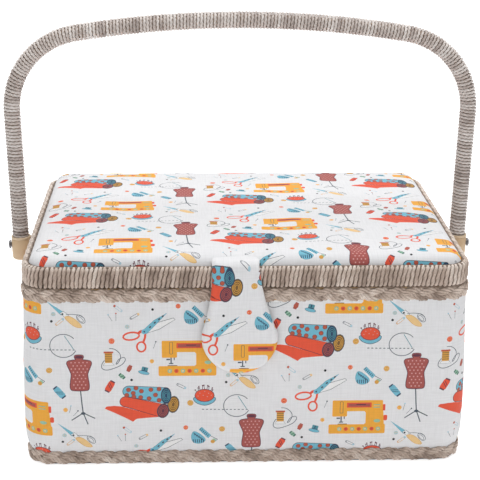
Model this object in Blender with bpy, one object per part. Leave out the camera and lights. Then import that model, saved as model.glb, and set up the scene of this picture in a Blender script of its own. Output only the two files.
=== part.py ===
"""A fabric-covered sewing box with a hinged padded lid, a closing tab, a bail handle and two lift-out trays.

Metres, +Z up, front at -Y. The origin is on the surface that the box stands on, under the middle of the box.
"""

from math import cos, pi, radians, sin

import bmesh
import bpy
from mathutils import Matrix, Vector

# --- Driving dimensions -------------------------------------------------------------------------

GAP = 0.0003                    # room between neighbouring solids
LID_WIDTH, LID_DEPTH = 0.325, 0.238
LID_RADIUS = 0.019              # plan corners of the lid's rim
LID_TOP = 0.158                 # top of the lid's rim
RIM_HEIGHT, RIM_THICK = 0.0155, 0.0045
CORD_SKIN = 0.0010              # thickness of the cord wound on the rim
FABRIC = 0.0008                 # printed cotton with its backing
CROWN = 0.0070                  # how far the padded top stands above the rim
PUFF = 0.0080                   # rounding of the padded top's shoulders

BODY_WIDTH, BODY_DEPTH = 0.328, 0.2355
BODY_RADIUS = 0.0195
BODY_TOP = 0.1412               # top of the walls' fabric
BOARD = 0.0040                  # wall, floor and lid boards
BOARD_SINK = 0.0007             # how far the boards stop below the top of the fabric
LINING_SINK = 0.0005            # how far the lining stops below the boards' tops
COVER_FOOT = 0.0004             # the walls' fabric stops just above the felt's underside
FELT, FELT_INSET = 0.0010, 0.0016

TOP_BRAID = (0.1295, 0.1410)    # height range of the upper plait
BOTTOM_BRAID = (0.0003, 0.0118)
BRAID_THICK, FOOT_BRAID_THICK = 0.0015, 0.0022

HANDLE_APEX = 0.3150            # height of the handle's centre line at its middle
HANDLE_TOP_RADIUS = 0.800       # the nearly straight stretch at the top
HANDLE_CORNER_RADIUS = 0.060
HANDLE_HALF_SPAN = radians(9.2) # half the angle of the top stretch
HANDLE_LEAN = radians(1.26)     # each leg leans in towards its cap
HANDLE_CORE_R, HANDLE_WRAP_R = 0.0045, 0.0065

PIVOT_Z = 0.1350                # height of the bolts that the handle turns on
CAP_X, CAP_R = 0.1760, 0.0080
CAP_BOTTOM, CAP_TOP = 0.1235, 0.1425
CAP_EDGE = 0.0010               # rounding of the caps' lower edge
CORE_LIFT = 0.0010              # wood left between the core's foot and the bolt's hole
BOLT_R, BOLT_CLEAR_R = 0.0020, 0.0023
WALL_HOLE_R = 0.0026            # the same hole in the fabrics and the plait
BOLT_END_X = 0.1530
BOLT_HEAD_R, BOLT_HEAD_THICK, BOLT_HEAD_EDGE = 0.0034, 0.0016, 0.0008
SHANK_OVERLAP = 0.0004          # how far a shank runs into its head
SPACER_R = 0.0050
WASHER_R, WASHER_THICK = 0.0045, 0.0008
NUT_R, NUT_THICK = 0.0038, 0.0024

HINGE_Y, HINGE_Z = 0.1226, 0.1420
HINGE_X = 0.085                 # middle of each hinge, left and right of the centre
LEAF, LEAF_WIDTH = 0.0009, 0.0300
BODY_LEAF_BOTTOM, BODY_LEAF_TOP = 0.1300, 0.1392
LID_LEAF_BOTTOM, LID_LEAF_TOP = 0.1446, 0.1555
KNUCKLE_R, PIN_R = 0.0022, 0.0010
PIN_REACH = 0.0004              # how far a pin stands out of its knuckles at each end
SCREW_SPREAD = 0.0095           # each screw's distance from its leaf's middle
BODY_SCREW_Z, LID_SCREW_Z = 0.1344, 0.1508
SCREW_R, SCREW_HOLE_R, SCREW_HEAD_R = 0.0010, 0.0013, 0.0021
SCREW_HEAD_DOME = 0.5           # a head's height as a share of its radius

TAB_X, TAB_LEAN = -0.0086, radians(3.5)
TAB_TOP, TAB_BOTTOM = 0.1580, 0.0755
TAB_TOP_WIDTH, TAB_WIDTH = 0.0336, 0.0556
TAB_BOW = 0.0022                # how far the tab's sides curve in
TAB_TILT = radians(8)           # how far the tab's half round runs on up its sides
TAB_LAYERS = (0.0006, 0.0018)   # back and front layer
HEM_THICK, HEM_PROUD = 0.0015, 0.0006
MAGNET_Z = 0.1000
BODY_MAGNET_R, BODY_MAGNET_THICK = 0.0080, 0.0020
TAB_MAGNET_R, TAB_MAGNET_THICK, TAB_POCKET = 0.0070, 0.0007, 0.0010

# x of the middle, half sizes, thickness and rounding of what is sewn under the lid
PINCUSHION = (-0.070, 0.045, 0.032, 0.0125, 0.0095)
POCKET = (0.062, 0.058, 0.060, 0.0026, 0.0012)
SEWN_RADIUS = 0.014

TRAY_WIDTH, TRAY_DEPTH, TRAY_HEIGHT = 0.306, 0.214, 0.0300
TRAY_WALL, TRAY_LIP, TRAY_LIP_THICK = 0.0020, 0.0018, 0.0016
TRAY_RADIUS, TRAY_FILLET = 0.0100, 0.0015
CELL_RADIUS, CELL_FILLET = 0.0080, 0.0025
LEDGE_TOP, LEDGE_HEIGHT, LEDGE_WIDTH, LEDGE_LENGTH = 0.0500, 0.0060, 0.0080, 0.1800
LEDGE_RADIUS = 0.0012

CORNER_STEPS = 6                # straight pieces in a quarter round
THROUGH = 0.010                 # how far a cutter runs past what it cuts

# --- Derived levels and half sizes --------------------------------------------------------------

BODY_HALF = Vector((BODY_WIDTH / 2, BODY_DEPTH / 2))
LID_HALF = Vector((LID_WIDTH / 2, LID_DEPTH / 2))
RIM_BOTTOM = LID_TOP - RIM_HEIGHT
BOARD_INSET = FABRIC + GAP
LINING_INSET = BOARD_INSET + BOARD + GAP
LINING_FLOOR = FELT + GAP + BOARD + GAP
BOARD_TOP = BODY_TOP - BOARD_SINK
COVER_INSET = RIM_THICK + GAP
LID_CORE_INSET = COVER_INSET + FABRIC + GAP
LID_BOARD_BOTTOM = 0.1503
LID_BOARD_TOP = LID_BOARD_BOTTOM + BOARD
LID_FRAME_BOTTOM, LID_FRAME_WIDTH = 0.1434, 0.0100
LID_LINING_BOTTOM = 0.1478
BRAID_OUTER_Y = BODY_HALF.y + GAP + BRAID_THICK
TAB_BACK_Y = -(BRAID_OUTER_Y + GAP)
LOWER_TRAY_BOTTOM = LEDGE_TOP + GAP
UPPER_TRAY_BOTTOM = LOWER_TRAY_BOTTOM + TRAY_HEIGHT + GAP

COLOURS = {
    "print_fabric": ((0.86, 0.86, 0.87), 0.85, 0.0),
    "lining_fabric": ((0.80, 0.76, 0.68), 0.90, 0.0),
    "paper_cord": ((0.47, 0.40, 0.34), 0.75, 0.0),
    "board": ((0.52, 0.40, 0.27), 0.80, 0.0),
    "wood": ((0.62, 0.46, 0.29), 0.65, 0.0),
    "foam": ((0.85, 0.83, 0.76), 0.95, 0.0),
    "felt": ((0.16, 0.16, 0.17), 0.95, 0.0),
    "cap_plastic": ((0.58, 0.42, 0.25), 0.45, 0.0),
    "tray_plastic": ((0.80, 0.82, 0.80), 0.35, 0.0),
    "brass": ((0.72, 0.54, 0.26), 0.30, 1.0),
    "steel": ((0.30, 0.30, 0.31), 0.35, 1.0),
    "cushion": ((0.62, 0.12, 0.10), 0.90, 0.0),
}


# --- Helpers ------------------------------------------------------------------------------------


def clear_scene():
    for obj in list(bpy.data.objects):
        bpy.data.objects.remove(obj)


def new_collection(name):
    made = bpy.data.collections.new(name)
    bpy.context.scene.collection.children.link(made)
    return made


def new_material(name):
    colour, roughness, metallic = COLOURS[name]
    made = bpy.data.materials.new(name)
    made.use_nodes = True
    made.diffuse_color = (*colour, 1.0)
    shader = made.node_tree.nodes["Principled BSDF"]
    shader.inputs["Base Color"].default_value = (*colour, 1.0)
    shader.inputs["Roughness"].default_value = roughness
    shader.inputs["Metallic"].default_value = metallic
    return made


def place(obj, collection):
    for held in list(obj.users_collection):
        held.objects.unlink(obj)
    collection.objects.link(obj)


def node(name, obj, colour, parent):
    """Names a finished sub-part, gives it a material of its own and hangs it on its body's empty."""
    obj.name = name
    obj.data.name = name
    obj.data.materials.clear()
    made = new_material(colour)
    made.name = name
    obj.data.materials.append(made)
    place(obj, part_collection)
    obj.parent = parent
    obj.matrix_parent_inverse = Matrix.Translation(-parent.location)
    return obj


def pivot(name, location):
    """An empty on a joint's axis, which the pieces of one moving body hang on."""
    made = bpy.data.objects.new(name, None)
    made.location = location
    part_collection.objects.link(made)
    return made


def mesh_object(name, mesh):
    made = bpy.data.objects.new(name, mesh)
    bpy.context.scene.collection.objects.link(made)
    return made


def as_mesh(curve_object, weld=1e-6):
    """A curve object made a mesh object in the same place, with its caps welded on."""
    graph = bpy.context.evaluated_depsgraph_get()
    mesh = bpy.data.meshes.new_from_object(curve_object.evaluated_get(graph), depsgraph=graph)
    work = bmesh.new()
    work.from_mesh(mesh)
    bmesh.ops.remove_doubles(work, verts=work.verts, dist=weld)
    bmesh.ops.recalc_face_normals(work, faces=work.faces)
    work.to_mesh(mesh)
    work.free()
    made = mesh_object(curve_object.name, mesh)
    made.matrix_world = curve_object.matrix_world
    bpy.data.objects.remove(curve_object)
    return made


def arc(centre, radius, start, end, steps=CORNER_STEPS):
    return [
        Vector((centre[0] + radius * cos(a), centre[1] + radius * sin(a)))
        for a in (start + (end - start) * i / steps for i in range(steps + 1))
    ]


def rounded(half_x, half_y, radius, steps=CORNER_STEPS):
    """A rounded rectangle about the origin, anticlockwise."""
    points = []
    for i, (sx, sy) in enumerate(((1, 1), (-1, 1), (-1, -1), (1, -1))):
        centre = (sx * (half_x - radius), sy * (half_y - radius))
        points += arc(centre, radius, i * pi / 2, (i + 1) * pi / 2, steps)
    return points


def inset(half, radius, depth):
    """The rounded rectangle that lies a depth inside one of these half sizes and corner radius."""
    return rounded(half.x - depth, half.y - depth, max(radius - depth, 0.001))


def prism(outlines, low, high):
    """A flat outline, with any holes in it, filled and drawn up between two heights."""
    data = bpy.data.curves.new("outline", "CURVE")
    data.dimensions = "2D"
    data.fill_mode = "BOTH"
    data.extrude = (high - low) / 2
    for outline in outlines:
        spline = data.splines.new("POLY")
        spline.points.add(len(outline) - 1)
        for point, (x, y) in zip(spline.points, outline):
            point.co = (x, y, 0, 1)
        spline.use_cyclic_u = True
    made = bpy.data.objects.new("outline", data)
    bpy.context.scene.collection.objects.link(made)
    bpy.context.view_layer.update()
    made = as_mesh(made)
    made.data.transform(Matrix.Translation((0, 0, (low + high) / 2)))
    return made


def upright(obj):
    """Stands an XY outline up in the XZ plane, so that its old height runs along -Y."""
    obj.data.transform(Matrix.Rotation(pi / 2, 4, "X"))
    return obj


def rod(radius, start, end, axis="Z", at=(0, 0), sides=12):
    """A cylinder between two places along an axis. at gives the other two coordinates, in X, Y, Z order."""
    bpy.ops.mesh.primitive_cylinder_add(vertices=sides, radius=radius, depth=end - start)
    made = bpy.context.object
    middle = (start + end) / 2
    turn = {"X": ("Y", (middle, *at)), "Y": ("X", (at[0], middle, at[1])), "Z": (None, (*at, middle))}[axis]
    if turn[0]:
        made.data.transform(Matrix.Rotation(pi / 2, 4, turn[0]))
    made.data.transform(Matrix.Translation(turn[1]))
    made.data.shade_smooth()
    made.data.set_sharp_from_angle(angle=radians(40))
    return made


def round_edges(obj, width, segments, chosen):
    """Rounds the edges that chosen picks."""
    work = bmesh.new()
    work.from_mesh(obj.data)
    edges = [e for e in work.edges if chosen(e)]
    bmesh.ops.bevel(
        work, geom=edges, offset=width, segments=segments, profile=0.5, affect="EDGES"
    )
    work.to_mesh(obj.data)
    work.free()
    return obj


def at_height(height):
    """Picks the edges round a level face at a height."""
    def chosen(edge):
        level = all(abs(v.co.z - height) < 1e-6 for v in edge.verts)
        return level and len(edge.link_faces) == 2 and not flat(edge)

    return chosen


def flat(edge):
    """Whether an edge only divides a flat face."""
    return edge.calc_face_angle(0) < radians(1)


def join_by(obj, other, operation, solver="EXACT"):
    """A Boolean modifier with another object, which goes with the cutters."""
    modifier = obj.modifiers.new(operation.title(), "BOOLEAN")
    modifier.operation = operation
    modifier.solver = solver
    modifier.object = other
    place(other, cutter_collection)
    other.name = "cutter_" + operation.lower()
    other.hide_render = True
    other.display_type = "WIRE"
    return obj


def cut(obj, *cutters):
    for cutter in cutters:
        join_by(obj, cutter, "DIFFERENCE")
    return obj


def add(obj, other, solver="EXACT"):
    return join_by(obj, other, "UNION", solver)


# --- Box body -----------------------------------------------------------------------------------


def pivot_holes(radius):
    """One long rod through both side walls on the handle's axis."""
    return rod(radius, -BODY_WIDTH, BODY_WIDTH, "X", (0, PIVOT_Z))


def build_walls(body):
    outer = Vector((BODY_HALF.x - BOARD_INSET, BODY_HALF.y - BOARD_INSET))
    radius = BODY_RADIUS - BOARD_INSET
    corner = Vector((outer.x - radius, outer.y - radius))
    bottom = FELT + GAP
    for name, side in (("front_board", -1), ("back_board", 1)):
        span, middle = corner.x - GAP, side * (outer.y - BOARD / 2)
        outline = [(x, middle + y) for x in (-span, span) for y in (-BOARD / 2, BOARD / 2)]
        board = prism([[outline[i] for i in (0, 2, 3, 1)]], bottom, BOARD_TOP)
        if side < 0:
            pocket_end = -outer.y + BODY_MAGNET_THICK + 2 * GAP
            cut(board, rod(BODY_MAGNET_R + GAP, -outer.y - BOARD, pocket_end, "Y", magnet_place()))
        node(name, board, "board", body)
    for name, side in (("left_board", -1), ("right_board", 1)):
        span, middle = corner.y - GAP, side * (outer.x - BOARD / 2)
        outline = [(middle + x, y) for x in (-BOARD / 2, BOARD / 2) for y in (-span, span)]
        board = prism([[outline[i] for i in (0, 2, 3, 1)]], bottom, BOARD_TOP)
        node(name, cut(board, pivot_holes(BOLT_CLEAR_R)), "board", body)
    for i, name in enumerate(("back_right", "back_left", "front_left", "front_right")):
        sx, sy = ((1, 1), (-1, 1), (-1, -1), (1, -1))[i]
        centre = (sx * corner.x, sy * corner.y)
        start, end = i * pi / 2, (i + 1) * pi / 2
        outline = arc(centre, radius, start, end) + arc(centre, radius - BOARD, end, start)
        node("corner_post_" + name, prism([outline], bottom, BOARD_TOP), "wood", body)


def build_floor(body):
    node("base_felt", prism([inset(BODY_HALF, BODY_RADIUS, FELT_INSET)], 0, FELT), "felt", body)
    board = prism([inset(BODY_HALF, BODY_RADIUS, LINING_INSET)], FELT + GAP, FELT + GAP + BOARD)
    node("base_board", board, "board", body)


def build_skins(body):
    cover = prism(
        [inset(BODY_HALF, BODY_RADIUS, 0), inset(BODY_HALF, BODY_RADIUS, FABRIC)], COVER_FOOT, BODY_TOP
    )
    node("body_cover", cut(cover, pivot_holes(WALL_HOLE_R)), "print_fabric", body)
    lining = prism([inset(BODY_HALF, BODY_RADIUS, LINING_INSET)], LINING_FLOOR, BOARD_TOP - LINING_SINK)
    inside = prism([inset(BODY_HALF, BODY_RADIUS, LINING_INSET + FABRIC)], LINING_FLOOR + FABRIC, LID_TOP)
    node("body_lining", cut(lining, inside, pivot_holes(WALL_HOLE_R)), "lining_fabric", body)


def braid(heights, thick):
    outlines = [inset(BODY_HALF, BODY_RADIUS, -GAP - thick), inset(BODY_HALF, BODY_RADIUS, -GAP)]
    return prism(outlines, *heights)


def build_trim(body):
    node("top_braid", cut(braid(TOP_BRAID, BRAID_THICK), pivot_holes(WALL_HOLE_R)), "paper_cord", body)
    node("bottom_braid", braid(BOTTOM_BRAID, FOOT_BRAID_THICK), "paper_cord", body)


def build_inside(body):
    wall = BODY_HALF.x - LINING_INSET - FABRIC - GAP
    for name, side in (("tray_ledge_left", -1), ("tray_ledge_right", 1)):
        middle = side * (wall - LEDGE_WIDTH / 2)
        outline = [(middle + x, y) for x, y in rounded(LEDGE_WIDTH / 2, LEDGE_LENGTH / 2, LEDGE_RADIUS, 2)]
        node(name, prism([outline], LEDGE_TOP - LEDGE_HEIGHT, LEDGE_TOP), "wood", body)
    face = GAP - (BODY_HALF.y - BOARD_INSET)
    magnet = rod(BODY_MAGNET_R, face, face + BODY_MAGNET_THICK, "Y", magnet_place())
    node("body_magnet", magnet, "steel", body)


# --- Lid ----------------------------------------------------------------------------------------


def lid_ring(outside, inside, low, high):
    return prism([inset(LID_HALF, LID_RADIUS, outside), inset(LID_HALF, LID_RADIUS, inside)], low, high)


def padded_block(depth, low, high, rounding):
    """A block that lies a depth inside the lid's outline, with soft upper shoulders."""
    block = prism([inset(LID_HALF, LID_RADIUS, depth)], low, high)
    return round_edges(block, rounding, 5, at_height(high))


def build_lid_rim(lid):
    wrap = lid_ring(0, RIM_THICK, RIM_BOTTOM, LID_TOP)
    groove = lid_ring(CORD_SKIN, RIM_THICK + CORD_SKIN, RIM_BOTTOM + CORD_SKIN, LID_TOP - CORD_SKIN)
    node("lid_rim_wrap", cut(wrap, groove), "paper_cord", lid)
    skin = CORD_SKIN + GAP
    strip = lid_ring(skin, RIM_THICK - GAP, RIM_BOTTOM + skin, LID_TOP - skin)
    node("lid_rim_strip", strip, "wood", lid)


def build_lid_top(lid):
    board = prism([inset(LID_HALF, LID_RADIUS, LID_CORE_INSET)], LID_BOARD_BOTTOM, LID_BOARD_TOP)
    node("lid_board", board, "board", lid)
    top = LID_TOP + CROWN
    pad = padded_block(LID_CORE_INSET, LID_BOARD_TOP + GAP, top - FABRIC - GAP, PUFF - FABRIC)
    node("lid_pad", pad, "foam", lid)
    cover = padded_block(COVER_INSET, LID_BOARD_BOTTOM, top, PUFF)
    hollow = padded_block(COVER_INSET + FABRIC, LID_BOARD_BOTTOM - BOARD, top - FABRIC, PUFF - FABRIC)
    node("lid_cover", cut(cover, hollow), "print_fabric", lid)


def build_lid_inside(lid):
    frame_outlines = [
        inset(LID_HALF, LID_RADIUS, LID_CORE_INSET),
        inset(LID_HALF, LID_RADIUS, LID_CORE_INSET + LID_FRAME_WIDTH),
    ]
    frame = prism(frame_outlines, LID_FRAME_BOTTOM, LID_BOARD_BOTTOM - GAP)
    node("lid_frame", frame, "wood", lid)
    depth = LID_CORE_INSET + LID_FRAME_WIDTH + GAP
    lining = prism([inset(LID_HALF, LID_RADIUS, depth)], LID_LINING_BOTTOM, LID_BOARD_BOTTOM - GAP)
    node("lid_lining", lining, "lining_fabric", lid)
    top = LID_LINING_BOTTOM - GAP
    for name, sizes, colour in (
        ("lid_pincushion", PINCUSHION, "cushion"),
        ("lid_pocket", POCKET, "lining_fabric"),
    ):
        x, half_x, half_y, thick, rounding = sizes
        outline = [(x + px, py) for px, py in rounded(half_x, half_y, SEWN_RADIUS)]
        pad = prism([outline], top - thick, top)
        node(name, round_edges(pad, rounding, 3, at_height(top - thick)), colour, lid)


# --- Closing tab --------------------------------------------------------------------------------


def tab_middle(height):
    """Where the leaning tab's centre line is at a height."""
    return TAB_X + (TAB_TOP - height) * sin(TAB_LEAN)


def magnet_place():
    """The x and z that the two magnets share."""
    return (tab_middle(MAGNET_Z), MAGNET_Z)


def tab_outline():
    """The tab seen from the front: it widens in a soft flare and ends in a half round."""
    radius = TAB_WIDTH / 2
    round_z = TAB_BOTTOM + radius
    half_top = TAB_TOP_WIDTH / 2
    points = arc((tab_middle(round_z), round_z), radius, -pi - TAB_TILT, TAB_TILT, 20)
    steps = 4
    for side in (1, -1):
        start = points[-1] if side > 0 else Vector((TAB_X - half_top, TAB_TOP))
        end = Vector((TAB_X + half_top, TAB_TOP)) if side > 0 else points[0]
        bow = TAB_BOW * side
        inner = [
            start.lerp(end, i / steps) - Vector((bow * sin(pi * i / steps), 0)) for i in range(1, steps)
        ]
        points += inner + ([end, Vector((TAB_X - half_top, TAB_TOP))] if side > 0 else [])
    return points


def build_tab(lid, tab):
    back, front = TAB_LAYERS
    inner = upright(prism([tab_outline()], -TAB_BACK_Y, -TAB_BACK_Y + back))
    node("tab_back", inner, "lining_fabric", tab)
    start = -TAB_BACK_Y + back + GAP
    outer = upright(prism([tab_outline()], start, start + front))
    pocket = rod(TAB_MAGNET_R + GAP, -start - TAB_POCKET, -start + GAP, "Y", magnet_place())
    node("tab_front", cut(outer, pocket), "print_fabric", tab)
    magnet_end = -start - (TAB_POCKET - TAB_MAGNET_THICK) / 2
    magnet = rod(TAB_MAGNET_R, magnet_end - TAB_MAGNET_THICK, magnet_end, "Y", magnet_place())
    node("tab_magnet", magnet, "steel", tab)
    half = TAB_TOP_WIDTH / 2
    front_y, back_y = -LID_HALF.y - HEM_PROUD, -LID_HALF.y + RIM_THICK
    hem = [(TAB_X - half, front_y), (TAB_X + half, front_y), (TAB_X + half, back_y), (TAB_X - half, back_y)]
    node("tab_hem", prism([hem], LID_TOP + GAP, LID_TOP + GAP + HEM_THICK), "print_fabric", lid)


# --- Back hinges --------------------------------------------------------------------------------


def leaf_outline(x, far, near, tongues):
    """A leaf between its far and near edges, with tongues that reach on from it to the pin."""
    half = LEAF_WIDTH / 2
    tip = HINGE_Z + (GAP if near > far else -GAP)
    points = [(-half, far), (half, far)]
    for left, right in reversed(tongues):
        points += [(right, near), (right, tip), (left, tip), (left, near)]
    if tongues[-1][1] < half - GAP:
        points.insert(2, (half, near))
        points.append((-half, near))
    else:
        points = points[:2] + points[3:-1]
    points = [Vector((x + px, pz)) for px, pz in points]
    return points if near > far else points[::-1]


def build_hinge(side, x, body, lid):
    """A butt hinge on the back: a leaf on the braid, a leaf on the rim, three knuckles and a pin."""
    inner_y = BRAID_OUTER_Y + GAP
    half, third = LEAF_WIDTH / 2, LEAF_WIDTH / 6
    leaves = (
        ("body", body, BODY_LEAF_BOTTOM, BODY_LEAF_TOP, ((-half, -third), (third, half)), BODY_SCREW_Z),
        ("lid", lid, LID_LEAF_TOP, LID_LEAF_BOTTOM, ((2 * GAP - third, third - 2 * GAP),), LID_SCREW_Z),
    )
    for owner, parent, far, near, tongues, screw_z in leaves:
        leaf = upright(prism([leaf_outline(x, far, near, tongues)], -inner_y - LEAF, -inner_y))
        for left, right in tongues:
            ends = (x + left - GAP / 3, x + right + GAP / 3)
            add(leaf, rod(KNUCKLE_R, *ends, "X", (HINGE_Y, HINGE_Z), 16), "MANIFOLD")
        cut(leaf, rod(PIN_R + GAP, x - LEAF_WIDTH, x + LEAF_WIDTH, "X", (HINGE_Y, HINGE_Z)))
        for i, screw_x in enumerate((x - SCREW_SPREAD, x + SCREW_SPREAD)):
            cut(leaf, rod(SCREW_HOLE_R, inner_y - LEAF, inner_y + 2 * LEAF, "Y", (screw_x, screw_z)))
            build_screw(f"hinge_{owner}_screw_{side}_{i + 1}", screw_x, screw_z, inner_y, parent)
        node(f"hinge_{owner}_leaf_{side}", leaf, "brass", parent)
    reach = half + PIN_REACH
    node("hinge_pin_" + side, rod(PIN_R, x - reach, x + reach, "X", (HINGE_Y, HINGE_Z)), "brass", body)


def build_screw(name, x, z, inner_y, parent):
    """A round-headed screw, shown as its head and the short shank in the leaf's hole."""
    head_y = inner_y + LEAF + GAP
    shank = rod(SCREW_R, inner_y + GAP / 3, head_y + GAP, "Y", (x, z), 8)
    bpy.ops.mesh.primitive_uv_sphere_add(segments=12, ring_count=6, radius=SCREW_HEAD_R)
    head = bpy.context.object
    head.data.transform(Matrix.Diagonal((1.0, SCREW_HEAD_DOME, 1.0, 1.0)))
    work = bmesh.new()
    work.from_mesh(head.data)
    flat_side = bmesh.ops.bisect_plane(
        work, geom=work.verts[:] + work.edges[:] + work.faces[:],
        plane_co=(0, 0, 0), plane_no=(0, -1, 0), clear_outer=True,
    )
    rim = [e for e in flat_side["geom_cut"] if isinstance(e, bmesh.types.BMEdge)]
    bmesh.ops.contextual_create(work, geom=rim)
    bmesh.ops.recalc_face_normals(work, faces=work.faces)
    work.to_mesh(head.data)
    work.free()
    head.data.transform(Matrix.Translation((x, head_y, z)))
    head.data.shade_smooth()
    head.data.set_sharp_from_angle(angle=radians(50))
    node(name, add(head, shank), "brass", parent)


# --- Handle -------------------------------------------------------------------------------------


def handle_path(low):
    """The handle's centre line in the XZ plane, from one leg's foot at height low to the other's."""
    top_z = HANDLE_APEX - HANDLE_TOP_RADIUS
    end_x = HANDLE_TOP_RADIUS * sin(HANDLE_HALF_SPAN)
    end_z = top_z + HANDLE_TOP_RADIUS * cos(HANDLE_HALF_SPAN)
    corner_x = end_x - HANDLE_CORNER_RADIUS * sin(HANDLE_HALF_SPAN)
    corner_z = end_z - HANDLE_CORNER_RADIUS * cos(HANDLE_HALF_SPAN)
    top_start = pi / 2 - HANDLE_HALF_SPAN
    top = [(x, z) for x, z in arc((0, top_z), HANDLE_TOP_RADIUS, pi / 2, top_start, 5)]
    corner = arc((corner_x, corner_z), HANDLE_CORNER_RADIUS, top_start, -HANDLE_LEAN, 9)
    leg_top = corner[-1]
    leg = []
    leg_steps = 4
    for i in range(1, leg_steps + 1):
        z = leg_top.y + (low - leg_top.y) * i / leg_steps
        leg.append((leg_top.x - (leg_top.y - z) * sin(HANDLE_LEAN), z))
    right = [Vector((x, 0, z)) for x, z in [*top, *corner[1:], *leg]]
    return [Vector((-p.x, 0, p.z)) for p in reversed(right[1:])] + right


def tube(points, radius, resolution):
    data = bpy.data.curves.new("tube", "CURVE")
    data.dimensions = "3D"
    data.bevel_depth = radius
    data.bevel_resolution = resolution
    data.use_fill_caps = True
    spline = data.splines.new("POLY")
    spline.points.add(len(points) - 1)
    for target, point in zip(spline.points, points):
        target.co = (*point, 1)
    made = bpy.data.objects.new("tube", data)
    bpy.context.scene.collection.objects.link(made)
    bpy.context.view_layer.update()
    made = as_mesh(made)
    made.data.shade_smooth()
    return made


def build_handle(handle):
    core_foot = PIVOT_Z + BOLT_CLEAR_R + CORE_LIFT
    core = tube(handle_path(core_foot), HANDLE_CORE_R, 2)
    node("handle_core", core, "wood", handle)
    wrap = tube(handle_path(CAP_TOP + GAP), HANDLE_WRAP_R, 4)
    hollow = tube(handle_path(core_foot), HANDLE_CORE_R + GAP, 2)
    node("handle_wrap", cut(wrap, hollow), "paper_cord", handle)
    for name, side in (("handle_cap_left", -1), ("handle_cap_right", 1)):
        x = side * CAP_X
        cap = rod(CAP_R, CAP_BOTTOM, CAP_TOP, "Z", (x, 0), 28)
        round_edges(cap, CAP_EDGE, 2, at_height(CAP_BOTTOM))
        socket = rod(HANDLE_CORE_R + GAP, core_foot - GAP, CAP_TOP + GAP, "Z", (x, 0), 20)
        cut(cap, socket, rod(BOLT_CLEAR_R, x - CAP_R - THROUGH, x + CAP_R + THROUGH, "X", (0, PIVOT_Z)))
        node(name, cap, "cap_plastic", handle)


def build_pivot(side, sign, bolts):
    """One bolt with its spacer outside the wall, and its washer and nut inside it."""
    def span(near, far):
        return (near, far) if sign > 0 else (-far, -near)

    head_x = CAP_X + CAP_R + GAP
    at = (0, PIVOT_Z)
    bolt = rod(BOLT_R, *span(BOLT_END_X, head_x + SHANK_OVERLAP), "X", at)
    head = rod(BOLT_HEAD_R, *span(head_x, head_x + BOLT_HEAD_THICK), "X", at, 20)
    outer = sign * (head_x + BOLT_HEAD_THICK)
    round_edges(
        head, BOLT_HEAD_EDGE, 2, lambda e: all(abs(v.co.x - outer) < 1e-6 for v in e.verts) and not flat(e)
    )
    node("pivot_bolt_" + side, add(bolt, head), "steel", bolts)
    braid_x = BODY_HALF.x + GAP + BRAID_THICK + GAP
    wall_x = BODY_HALF.x - LINING_INSET - FABRIC
    washer_x = wall_x - GAP - WASHER_THICK
    nut_x = washer_x - GAP - NUT_THICK
    for name, radius, near, far, sides in (
        ("pivot_spacer_", SPACER_R, braid_x, CAP_X - CAP_R - GAP, 20),
        ("pivot_washer_", WASHER_R, washer_x, washer_x + WASHER_THICK, 20),
        ("pivot_nut_", NUT_R, nut_x, nut_x + NUT_THICK, 6),
    ):
        ring = rod(radius, *span(near, far), "X", at, sides)
        cut(ring, rod(BOLT_CLEAR_R, *span(near - THROUGH, far + THROUGH), "X", at))
        node(name + side, ring, "steel", bolts)


# --- Trays --------------------------------------------------------------------------------------


def tray(bottom, cells):
    """A moulded tray: a lip round the top, and rounded compartments cut down to its floor."""
    top = bottom + TRAY_HEIGHT
    half_x, half_y = TRAY_WIDTH / 2, TRAY_DEPTH / 2
    made = prism([rounded(half_x - TRAY_LIP, half_y - TRAY_LIP, TRAY_RADIUS)], bottom, top)
    round_edges(made, TRAY_FILLET, 2, at_height(bottom))
    add(made, prism([rounded(half_x, half_y, TRAY_RADIUS + TRAY_LIP)], top - TRAY_LIP_THICK, top))
    for x0, y0, x1, y1 in cells:
        outline = [
            (x + (x0 + x1) / 2, y + (y0 + y1) / 2)
            for x, y in rounded((x1 - x0) / 2, (y1 - y0) / 2, CELL_RADIUS, 3)
        ]
        cell = prism([outline], bottom + TRAY_WALL, top + TRAY_WALL)
        round_edges(cell, CELL_FILLET, 2, at_height(bottom + TRAY_WALL))
        cut(made, cell)
    return made


def grid_cells(columns, rows):
    """Compartments between the given column and row edges, with half a wall left on each side."""
    half = TRAY_WALL / 2
    return [
        (x0 + half, y0 + half, x1 - half, y1 - half)
        for x0, x1 in zip(columns, columns[1:])
        for y0, y1 in zip(rows, rows[1:])
    ]


def tray_edges(fractions, size):
    """Divider places, as fractions of the space inside the outer walls."""
    reach = size / 2 - TRAY_LIP - TRAY_WALL / 2
    return [-reach + 2 * reach * f for f in (0, *fractions, 1)]


def build_trays(lower, upper):
    cells = grid_cells(tray_edges((0.5,), TRAY_WIDTH), tray_edges((0.5,), TRAY_DEPTH))
    node("lower_tray", tray(LOWER_TRAY_BOTTOM, cells), "tray_plastic", lower)
    columns, rows = tray_edges((0.3, 0.7), TRAY_WIDTH), tray_edges((0.5,), TRAY_DEPTH)
    side_cells = grid_cells(columns[:2], rows) + grid_cells(columns[2:], rows)
    middle_rows = tray_edges((0.34,), TRAY_DEPTH)
    cells = side_cells + grid_cells(columns[1:3], middle_rows)
    node("upper_tray", tray(UPPER_TRAY_BOTTOM, cells), "tray_plastic", upper)


# --- Assembly -----------------------------------------------------------------------------------

clear_scene()
part_collection = new_collection("sewing_box")
cutter_collection = new_collection("cutters")

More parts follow.
